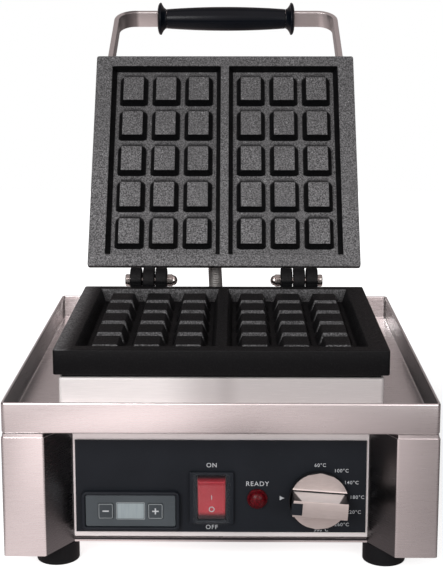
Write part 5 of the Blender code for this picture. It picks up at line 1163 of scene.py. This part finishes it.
class WAFFLE_OT_conduit(bpy.types.Operator):
    """Conduit: a ribbed tube whose radius follows a cosine along its path, with a hexagonal fitting at each end"""
    bl_idname = "waffle.conduit"
    bl_label = "Conduit"

    def execute(self, context):
        coarse = conduit_path()
        run = chain(0, np.cumsum(np.linalg.norm(np.diff(coarse, axis=0), axis=1)))
        count = int(run[-1] / sizes().rib_pitch * 8) + 1
        along = np.linspace(0, run[-1], count)
        path = np.column_stack([np.interp(along, run, coarse[:, i]) for i in range(3)])
        tangent = np.gradient(path, axis=0)
        tangent /= np.linalg.norm(tangent, axis=1, keepdims=True)
        across = np.array([1.0, 0, 0]) - tangent * tangent[:, :1]
        across /= np.linalg.norm(across, axis=1, keepdims=True)
        width = np.cross(tangent, across)
        wave = np.cos(along / sizes().rib_pitch * 2 * np.pi)
        radius = 6.05 * MM + 0.28 * MM * np.sign(wave) * np.abs(wave) ** 0.6
        ring = turned([1.0], [0.0], 28)[0]
        rings = (path[:, None] + (across[:, None] * ring[None, :, :1] + width[:, None] * ring[None, :, 1:2])
                 * radius[:, None, None])
        piece = Surface().tube(rings).piece("ribbed_conduit", None, "conduit_steel", "conduit_skin", ["conduit"],
                                            sharp=80)
        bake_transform(piece)
        nut = hexagon(9.0 * MM, 10.2 * MM, mm(0, 0.6, 0.8, 7.2, 8.0), mm(0.6, 0.6, 0, 0, 0.8))
        place, floor = middle("conduit_nut_base"), corners("conduit_nut_base")[0][2]
        fitting = np.stack([nut[..., 0], nut[..., 2], nut[..., 1]], -1)
        fitting = on_floor(fitting, FITTING_X, LID_BACK + 0.3 * MM, FITTING_LEVEL)
        for body, rings in (("base", on_floor(nut, place[0], place[1], floor)), ("lid", opened(fitting))):
            Surface().tube(rings).piece("conduit_fitting_" + body, body, "fastener_chrome", "bright_plating",
                                        ["conduit_nut_" + body])
        return {"FINISHED"}


class WAFFLE_OT_timer(bpy.types.Operator):
    """Timer: a bezel with round corners, the keypad face, the display with its pale frame and two keys"""
    bl_idname = "waffle.timer"
    bl_label = "Timer"

    def execute(self, context):
        bezel, window = middle("timer_bezel"), middle("timer_window")
        size, inner = half("timer_bezel"), half("timer_window")
        seat_y = corners("timer_bezel")[1][1]
        rings = band((size[0], size[2], 4 * MM), (inner[0] + 0.3 * MM, inner[2] + 0.3 * MM, 1.6 * MM), 2 * size[1],
                     0.9 * MM)
        Surface().hoop(on_front(rings, bezel[0], bezel[2], seat_y)).piece(
            "timer_bezel_rim", "base", "black_matte_plastic", "matte_black", ["timer_bezel"])
        height = 2 * inner[1]
        keys = [middle(f"timer_{name}_button")[[0, 2]] - window[[0, 2]] for name in ("minus", "plus")]
        face, edges = (on_front(points, window[0], window[2], seat_y)
                       for points in self.keypad(inner[0], inner[2], height, keys))
        Surface().grid(face).rings(edges).cap(edges[-1]).piece(
            "timer_keypad", "base", "timer_grey", "keypad_grey", ["timer_window"])
        front = seat_y - height
        lcd, size = middle("timer_lcd"), half("timer_lcd")
        glass = slab(size[0], size[2], 0.6 * MM, 0.25 * MM, 0.15 * MM)
        Surface().tube(on_front(glass, lcd[0], lcd[2], front)).piece(
            "timer_display", "base", "lcd_grey", "display_grey", ["timer_lcd"])
        self.outline("timer_display_frame", lcd, size[[0, 2]] + 0.75 * MM, front, "base")
        for name in ("minus", "plus"):
            node, body = f"timer_{name}_button", f"{name}_key"
            centre, face_y = middle(node), corners(node)[0][1]
            cap = slab(*KEY, 0.9 * MM, seat_y - face_y, 0.35 * MM)
            Surface().tube(on_front(cap, centre[0], centre[2], seat_y)).piece(
                f"timer_{name}_key", body, "timer_grey", "key_grey", [node])
            self.outline(f"timer_{name}_outline", centre, KEY - 0.25 * MM, face_y, body)
            thin, stroke = 0.52 * MM, 2.3 * MM
            bars = [slab(stroke, thin, PRINT, PRINT, 0.04 * MM, 2)]
            if name == "plus":
                bars.append(slab(thin, stroke, PRINT, 0.12 * MM, 0.04 * MM, 2))
            glyph = Surface()
            for bar in bars:
                glyph.tube(on_front(bar, centre[0], centre[2], face_y))
            glyph.piece(f"timer_{name}_glyph", body, "timer_grey", "printed_white")
        return {"FINISHED"}

    @staticmethod
    def keypad(wide, tall, height, keys):
        """The keypad's face as heights on a grid, with a well round each key, and its rounded edge as rings.

        A place is in a well where its distance to the well's rounded rectangle is negative.
        """
        corner, edge, radius, wall = 1.4 * MM, 0.4 * MM, 1.1 * MM, 0.04 * MM
        well, flank = KEY + 0.22 * MM, chain(np.linspace(-1.2, 0.06, 22), 0.4) * MM
        lines = []
        for axis, size in ((0, wide), (1, tall)):
            close = [key[axis] + side * (well[axis] + flank) for key in keys for side in (-1, 1)]
            end = size - corner
            every = np.unique(np.round(np.concatenate(close + [[-end, 0, end]]), 7))
            lines.append(every[np.abs(every) <= end + 0.001 * MM])
        plan = np.stack(np.broadcast_arrays(lines[0][None, :], lines[1][:, None]), -1)
        nearest = np.full(plan.shape[:2], 1.0)
        for key in keys:
            past = np.abs(plan - key) - (well - radius)
            distance = np.linalg.norm(np.maximum(past, 0), axis=-1) + np.minimum(past.max(-1), 0) - radius
            nearest = np.minimum(nearest, distance)
        level = height * np.clip(nearest / wall + 0.5, 0.02, 1)
        border, outward = rim_path(*lines, 6)
        turn = quarter(5)
        shift = chain(0, corner - edge + edge * np.sin(turn), corner)
        fall = chain(0, edge * (1 - np.cos(turn)), height)
        rings = raised(np.stack([border + outward * out for out in shift]), height - fall)
        return np.concatenate([plan, level[..., None]], -1), rings

    @staticmethod
    def outline(name, centre, half_size, y, body):
        """A thin printed frame."""
        line = 0.42 * MM
        rings = band((*half_size, 0.9 * MM), (*(half_size - line), 0.5 * MM), PRINT, 0.04 * MM)
        Surface().hoop(on_front(rings, centre[0], centre[2], y)).piece(name, body, "timer_grey", "printed_grey")


class WAFFLE_OT_switch(bpy.types.Operator):
    """Power switch: a frame with a deep mouth, a dished rocker and a clear cover"""
    bl_idname = "waffle.switch"
    bl_label = "Power switch"

    def execute(self, context):
        x, _, z = middle("switch_frame")
        seat_y = FASCIA_FRONT - 0.3 * MM
        frame_rings = band(mm(15.9, 19.4, 1.3), mm(10.4, 17, 1.2), 3 * MM, 0.7 * MM, -17 * MM)
        housing = raised(rounded_ring(mm(15.9, 14.0, 14.0), mm(19.4, 18.4, 18.4), mm(1.3, 1.0, 1.0)), mm(0, 0, -32))
        surface = Surface()
        for rings in (frame_rings, housing):
            laid = on_front(rings, x, z, seat_y)
            surface.rings(laid).cap(laid[-1])
        surface.piece("switch_frame_moulding", "base", "black_matte_plastic", "matte_black", ["switch_frame"])
        self.rocker(x, z)
        size, seat_y = half("switch_cover"), corners("switch_cover")[1][1]
        rise, lean, wall = 2 * size[1], 1.5 * MM, 0.9 * MM
        inset = np.array([0, 0.2 * MM, lean * 0.8, lean + 0.5 * MM, lean + 1.4 * MM])
        level = np.array([0, rise * 0.6, rise - 0.8 * MM, rise - 0.2 * MM, rise])
        outer = raised(rounded_ring(size[0] - inset, size[2] - inset, 2 * MM), level)
        inner = raised(rounded_ring(size[0] - inset - wall, size[2] - inset - wall, 1.4 * MM),
                       np.maximum(level - wall, 0))
        outer, inner = (on_front(rings, x, z, seat_y) for rings in (outer, inner))
        surface = Surface().rings(outer).cap(outer[-1]).rings(inner).cap(inner[-1])
        surface.rings(np.stack([outer[0], inner[0]])).piece(
            "switch_splash_cover", "base", "clear_cover", "clear_cover", ["switch_cover"])
        return {"FINISHED"}

    @staticmethod
    def rocker(x, z):
        """The rocker's front is a shallow hollow, rounded towards its sides, tilted about its axle."""
        pivot, tilt = JOINTS["power_switch_rock"]["pos_m"], math.radians(11)
        half_x, half_z, edge, depth = 10.0 * MM, 15.6 * MM, 1.2 * MM, -5 * MM

        def reach(up):
            return 4.4 * MM + 2.1 * MM * (np.abs(up) / half_z) ** 1.7

        def lines(size, count):
            bend = size - edge * (1 - np.sin(quarter(7)))
            return np.unique(chain(np.linspace(-size, size, count), bend, -bend))

        def drop(w, size):
            over = np.clip((np.abs(w) - (size - edge)) / edge, 0, 1)
            return edge * (1 - np.sqrt(1 - over ** 2))

        u, v = np.meshgrid(lines(half_x, 17), lines(half_z, 33))
        front = np.maximum(reach(v) - drop(u, half_x) - drop(v, half_z), reach(v) - edge)

        def placed(points):
            y, up = -points[..., 2], points[..., 1]
            return np.stack([x + points[..., 0], pivot[1] + y * math.cos(tilt) - up * math.sin(tilt),
                             pivot[2] + y * math.sin(tilt) + up * math.cos(tilt)], -1)

        face, back = (placed(np.stack([u, v, out], -1)) for out in (front, np.full_like(u, depth)))
        surface = Surface().grid(face).grid(back)
        for pick in ((slice(None), 0), (slice(None), -1), (0, slice(None)), (-1, slice(None))):
            surface.grid(np.stack([face[pick], back[pick]]))
        surface.piece("rocker_shell", "power_rocker", "switch_red", "rocker_red", ["switch_rocker"])

        def on_face(points, up):
            across, along = points[..., 0], points[..., 1] + up
            return placed(np.stack([across, along, reach(along) + points[..., 2]], -1))

        stroke = slab(0.3 * MM, 1.9 * MM, PRINT, 0.08 * MM, 0.03 * MM, 2)
        ring = turned(mm(2.1, 2.1, 1.45, 1.45), mm(0, 0.08, 0.08, 0), 32)
        Surface().tube(on_face(stroke, 1.6 * MM)).hoop(on_face(ring, -7.8 * MM)).piece(
            "rocker_marks", "power_rocker", "switch_red", "printed_white")


class WAFFLE_OT_lamp(bpy.types.Operator):
    """Ready lamp: a domed lens with a stepped rim"""
    bl_idname = "waffle.lamp"
    bl_label = "Ready lamp"

    def execute(self, context):
        centre = middle("lamp_lens")
        turn = quarter(12)
        radius = chain(7.3, 7.3, 7.0, 6.4, 6.1, 6.1 * np.cos(turn)) * MM
        level = chain(0, 0.9, 1.3, 1.4, 1.9, 1.9 + 4.3 * np.sin(turn)) * MM
        rings = turned(radius, level, 64)
        Surface().tube(on_front(rings, centre[0], centre[2], FASCIA_FRONT - 0.3 * MM)).piece(
            "lamp_dome", "base", "lamp_red", "lamp_red", ["lamp_lens"])
        return {"FINISHED"}


class WAFFLE_OT_knob(bpy.types.Operator):
    """Thermostat knob: a disc, and a bar that rises from it through a fillet below and a groove above"""
    bl_idname = "waffle.knob"
    bl_label = "Knob"
    SATIN, BLACK, SHOULDER = range(3)

    def execute(self, context):
        x, z = middle("thermostat_knob")[[0, 2]]
        radius, bar_radius, disc, front, gap = 21.4 * MM, 20.1 * MM, 5.5 * MM, 24 * MM, 0.8 * MM
        turn = math.radians(4)

        def placed(points):
            across, up = points[..., 0], points[..., 1]
            return on_front(np.stack([across * math.cos(turn) + up * math.sin(turn),
                                      up * math.cos(turn) - across * math.sin(turn), points[..., 2]], -1), x, z)

        surface = Surface()
        inset, fall = quarter_round(0.4 * MM, 5)
        rings = turned(chain(radius - 1 * MM, radius, radius - inset),
                       chain(gap, gap + 1 * MM, gap + disc - fall), sizes().round_steps)
        surface.rings(placed(rings), mark=self.BLACK).cap(placed(rings[:1])[0], self.BLACK)
        # The face and the bar are sheets of heights: lines across that end on the disc's rim. Their order is the
        # face below the bar with its fillet and the bar, the bar's upper wall with its painted highlight, a groove
        # painted black as shade, the face above.
        fillet, bar, soft = sizes().knob_fillet, 6.0 * MM, 0.8 * MM
        rim, height = radius - 0.4 * MM, front - disc - gap
        bend, edge = quarter(9), quarter(5)
        low = -bar - fillet
        sheets = (
            (self.SATIN,
             [np.linspace(-0.999 * rim, low - 0.5 * MM, 8), low + fillet * np.sin(bend),
              -bar + soft * (1 - np.cos(edge)), [bar - soft, bar - 0.3 * MM, bar + 0.05 * MM]],
             [np.zeros(8), fillet * (1 - np.cos(bend)), height - soft * (1 - np.sin(edge)),
              height - mm(0, 0.12, 0.5)]),
            (self.SHOULDER, [bar + mm(0.05, 0.1, 0.2, 0.3)], [[height - 0.5 * MM, height * 0.6, height * 0.3, 0]]),
            (self.BLACK, [bar + mm(0.3, 0.35, 1.35, 1.4)], [mm(0, -1.2, -1.2, 0.25)]),
            (self.SATIN, [bar + mm(1.4, 1.6, 1.8, 2.3), np.linspace(bar + 2.8 * MM, 0.999 * rim, 7)],
             [mm(0.25, 0.36, 0.32, 0.04), np.zeros(7)]))
        share = np.linspace(-1, 1, 49)
        for mark, up, rise in sheets:
            up, rise = np.concatenate(up), np.concatenate(rise)
            round_to = bar_radius + (rim - bar_radius) * np.clip(1 - rise / (4 * MM), 0, 1)
            reach = np.sqrt(np.maximum(round_to ** 2 - up ** 2, 0))[:, None]
            points = np.stack(np.broadcast_arrays(share * reach, up[:, None], (disc + gap + rise)[:, None]), -1)
            surface.grid(placed(points), mark=mark)
            for line in (points[:, 0], points[:, -1]):
                root = line.copy()
                root[:, 2] = disc + gap
                surface.grid(placed(np.stack([line, root])), mark=self.BLACK)
        surface.piece("knob_shell", "knob", "knob_satin", "satin_knob knob_black knob_shoulder",
                      ["thermostat_knob"], sharp=32)
        pointer = slab(3.9 * MM, 4.3 * MM, 0.3 * MM, 1.0 * MM, 0.25 * MM, 2)
        pointer = pointer + np.array([-16.6 * MM, 0, front - 0.7 * MM])
        Surface().tube(placed(pointer)).piece(
            "pointer_insert", "knob", "black_matte_plastic", "matte_black", ["knob_pointer"])
        return {"FINISHED"}


class WAFFLE_OT_labels(bpy.types.Operator):
    """Printed dial numbers and words, made a mesh and laid on the fascia"""
    bl_idname = "waffle.labels"
    bl_label = "Labels"

    def execute(self, context):
        height = sizes().label_height
        knob, lamp, switch = (middle(node)[[0, 2]] for node in ("thermostat_knob", "lamp_lens", "switch_cover"))
        places = {60: (1.0, 24.8), 100: (16.2, 20.7), 140: (23.5, 11.8), 180: (27.7, 0.8), 220: (25.5, -10.5),
                  260: (17.0, -20.0), 300: (2.1, -24.0)}
        for value, place in places.items():
            self.write(f"dial_{value}", f"{value}°C", knob + mm(*place), height * 0.74)
        self.write("word_ready", "READY", lamp + mm(0, 10.9), height)
        self.write("word_on", "ON", switch + mm(0, 23.6), height * 0.95)
        self.write("word_off", "OFF", switch - mm(0, 23.2), height * 0.95)
        triangle = mm((-1.7, 1.6), (1.7, 0), (-1.7, -1.6))
        rings = raised(np.stack([triangle, triangle]), mm(0, 0.06))
        Surface().tube(on_front(rings, knob[0] - 26.2 * MM, knob[1])).piece(
            "dial_mark", "base", "fascia_black", "printed_white")
        return {"FINISHED"}

    @staticmethod
    def write(name, words, place, height):
        """Turns words into a mesh, centred on a place of the fascia."""
        curve = bpy.data.curves.new(name + "_curve", "FONT")
        curve.body, curve.size = words, height / 0.72
        curve.align_x, curve.align_y = "CENTER", "CENTER"
        curve.offset, curve.extrude = 0.00002, 0.03 * MM
        curve.space_character = 1.16
        text = bpy.data.objects.new(name + "_curve", curve)
        bpy.context.scene.collection.objects.link(text)
        bpy.context.view_layer.update()
        mesh = bpy.data.meshes.new_from_object(text.evaluated_get(bpy.context.evaluated_depsgraph_get()))
        bpy.data.objects.remove(text)
        points = np.empty(len(mesh.vertices) * 3, np.float32)
        mesh.vertices.foreach_get("co", points)
        points = points.reshape(-1, 3)
        laid = on_front(points, place[0], place[1], FASCIA_FRONT - 0.03 * MM)
        mesh.vertices.foreach_set("co", laid.astype(np.float32).ravel())
        mesh.materials.clear()
        mesh.materials.append(finish("printed_white"))
        seat(bpy.data.objects.new(name, mesh), "base")


class WAFFLE_OT_kept_pieces(bpy.types.Operator):
    """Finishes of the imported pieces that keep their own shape"""
    bl_idname = "waffle.kept_pieces"
    bl_label = "Kept pieces"

    def execute(self, context):
        plated = tuple(node for node in frame["nodes"] if "screw" in node and "front_screw" not in node)
        table = {
            "brushed_stainless": ("rear_panel",),
            "lip_stainless": ("bottom_plate",),
            "fascia_black": ("control_fascia",),
            "bright_plating": plated,
            "matte_black": ("front_screw_left", "front_screw_middle", "front_screw_right", "timer_body",
                            "lamp_body"),
            "black_rubber": ("cord_gland",),
            "thermostat_steel": ("thermostat_body", "thermostat_bulb"),
            "element_steel": ("lower_element", "upper_element"),
            "mineral_wool": ("lower_insulation", "upper_insulation"),
            "terminal_white": ("terminal_block",),
        }
        for name, nodes in table.items():
            for node in nodes:
                materials = frame["nodes"][node].data.materials
                materials.clear()
                materials.append(finish(name))
        return {"FINISHED"}


class WAFFLE_OT_stage(bpy.types.Operator):
    """Pale floor, white surroundings, soft lamps and the camera"""
    bl_idname = "waffle.stage"
    bl_label = "Stage"
    # Brightness of the floor in reflections, from 0.25 m on the left to 0.25 m on the right.
    LEVELS = ((0.0, 0.58), (0.06, 0.70), (0.12, 1.15), (0.18, 1.25), (0.36, 1.22), (0.43, 0.86), (0.485, 0.66),
              (0.515, 0.39), (0.565, 0.39), (0.605, 0.71), (0.72, 0.68), (0.80, 0.54), (0.90, 0.38), (1.0, 0.29))

    def execute(self, context):
        scene = context.scene
        scene.view_settings.view_transform = "Standard"
        self.floor()
        self.world(scene)
        self.lamp("key", (-0.75, -1.75, 1.0), (0, -0.05, 0.18), 0.9, 20.0)
        self.lamp("fill", (0.9, -1.6, 0.55), (0, -0.05, 0.15), 0.8, 6.0)
        camera = bpy.data.cameras.new("camera")
        camera.sensor_fit, camera.sensor_height, camera.lens = "VERTICAL", 36.0, 83.14
        camera.shift_y, camera.clip_start = -0.1, 0.05
        eye = bpy.data.objects.new("camera", camera)
        eye.location = (0.009866, -1.1541182, 0.40408)
        eye.rotation_euler = (math.pi / 2 - 0.17339, 0, 0.01035)
        scene.collection.objects.link(eye)
        scene.camera = eye
        return {"FINISHED"}

    def floor(self):
        """A flat rounded sheet: pale, and white towards its rim, with levels that only reflections see."""
        ring = rounded_ring(0.9, 1.6, 0.3, 12)
        rings = raised(np.concatenate([ring * share for share in (1.0, 0.6, 0.2)]), np.zeros(3))
        surface = Surface().rings(rings).cap(rings[-1])
        mesh = bpy.data.meshes.new("floor")
        mesh.from_pydata(np.concatenate(surface.points).tolist(), [], surface.faces)
        material = bpy.data.materials.new("floor_white")
        made = Finish(material)
        made.tree.nodes.clear()
        camera, glossy, clear = made.rays()
        x, y = made.part(0), made.part(1)
        distance = made.node("ShaderNodeVectorMath", {"operation": "LENGTH"}, {0: made.place()}, output=1)
        grain = made.noise(600.0, 2.0)
        pale = made.node("ShaderNodeBsdfDiffuse", None,
                         {"Color": made.mix(grain, (0.70, 0.70, 0.70), (0.76, 0.76, 0.76))})
        white = made.node("ShaderNodeEmission", None,
                          {"Color": (1.0, 1.0, 1.0),
                           "Strength": (camera + clear) * made.ramp(distance, 0.15, 0.55, 0.62, 1.0)})
        lit = made.node("ShaderNodeAddShader", None, {0: pale, 1: white})
        across = made.node("ShaderNodeMapRange", None, {0: x, 1: -0.25, 2: 0.25, 3: 0.0, 4: 1.0})
        stops = [(place, (level, level * 0.855, level * 0.85)) for place, level in self.LEVELS]
        glow = made.node("ShaderNodeValToRGB", {"stops": stops}, {0: across})
        ahead = made.ramp(y, -0.60, -0.40, 1.0, 0.61)
        seen = made.node("ShaderNodeEmission", None, {"Color": glow, "Strength": ahead})
        both = made.node("ShaderNodeMixShader", None, {0: glossy, 1: lit, 2: seen})
        output = made.tree.nodes.new("ShaderNodeOutputMaterial")
        made.put(output.inputs[0], both)
        mesh.materials.append(material)
        item = bpy.data.objects.new("floor", mesh)
        bpy.context.scene.collection.objects.link(item)

    @staticmethod
    def world(scene):
        """White behind the object, dimmer to both sides where only reflections see it."""
        world = bpy.data.worlds.new("studio")
        scene.world = world
        made = Finish(world)
        made.tree.nodes.clear()
        camera, glossy, clear = made.rays()
        way = made.node("ShaderNodeTexCoord", output=0)
        x, y, z = (made.node("ShaderNodeSeparateXYZ", None, {0: way}, output=i) for i in range(3))
        side = made.ramp(abs(x), 0.45, 0.85, 1.0, 0.15)
        front = made.ramp(y, 0.1, -0.3, 0.34, 1.0)
        tilt = made.ramp(x, -0.16, 0.08, 1.0, 0.45)
        tilt = tilt + (1 - tilt) * made.ramp(z, 0.05, 0.45)
        strength = camera + clear + glossy * side * front * tilt + (1 - camera - clear - glossy) * 0.32
        shade = made.mix(glossy, (1.0, 1.0, 1.0), (1.0, 0.86, 0.855))
        glow = made.node("ShaderNodeBackground", None, {"Color": shade, "Strength": strength})
        output = made.tree.nodes.new("ShaderNodeOutputWorld")
        made.put(output.inputs[0], glow)

    @staticmethod
    def lamp(name, place, target, size, power):
        """A square soft lamp that faces a target."""
        light = bpy.data.lights.new(name, "AREA")
        light.shape, light.size, light.energy = "SQUARE", size, power
        item = bpy.data.objects.new(name, light)
        item.location = place
        item.rotation_euler = (Vector(target) - Vector(place)).to_track_quat("-Z", "Y").to_euler()
        bpy.context.scene.collection.objects.link(item)


OPERATORS = (WAFFLE_OT_stage, WAFFLE_OT_tray, WAFFLE_OT_side_panels, WAFFLE_OT_front_panel, WAFFLE_OT_feet,
             WAFFLE_OT_plates, WAFFLE_OT_hinge_hardware, WAFFLE_OT_plate_box, WAFFLE_OT_lid_cover,
             WAFFLE_OT_handle, WAFFLE_OT_conduit, WAFFLE_OT_timer, WAFFLE_OT_switch, WAFFLE_OT_lamp,
             WAFFLE_OT_knob, WAFFLE_OT_labels, WAFFLE_OT_kept_pieces)


class WAFFLE_PT_panel(bpy.types.Panel):
    """Lists the pieces of the waffle iron"""
    bl_label = "Waffle Iron"
    bl_idname = "WAFFLE_PT_panel"
    bl_space_type = "VIEW_3D"
    bl_region_type = "UI"
    bl_category = "Waffle Iron"

    def draw(self, context):
        for operator in OPERATORS:
            self.layout.operator(operator.bl_idname)
        for group in (context.scene.waffle_sizes, context.scene.waffle_colours):
            for name in group.bl_rna.properties.keys():
                if name not in ("rna_type", "name"):
                    self.layout.prop(group, name)


CLASSES = (WaffleSizes, WaffleColours, *OPERATORS, WAFFLE_PT_panel)


def register():
    """Registers the classes and their settings."""
    for item in CLASSES:
        bpy.utils.register_class(item)
    bpy.types.Scene.waffle_sizes = PointerProperty(type=WaffleSizes)
    bpy.types.Scene.waffle_colours = PointerProperty(type=WaffleColours)


def unregister():
    """Takes the settings and the classes away again."""
    del bpy.types.Scene.waffle_colours
    del bpy.types.Scene.waffle_sizes
    for item in reversed(CLASSES):
        bpy.utils.unregister_class(item)


def main():
    """Builds every piece."""
    register()
    for operator in OPERATORS:
        group, name = operator.bl_idname.split(".")
        getattr(getattr(bpy.ops, group), name)()


if __name__ == "__main__":
    main()
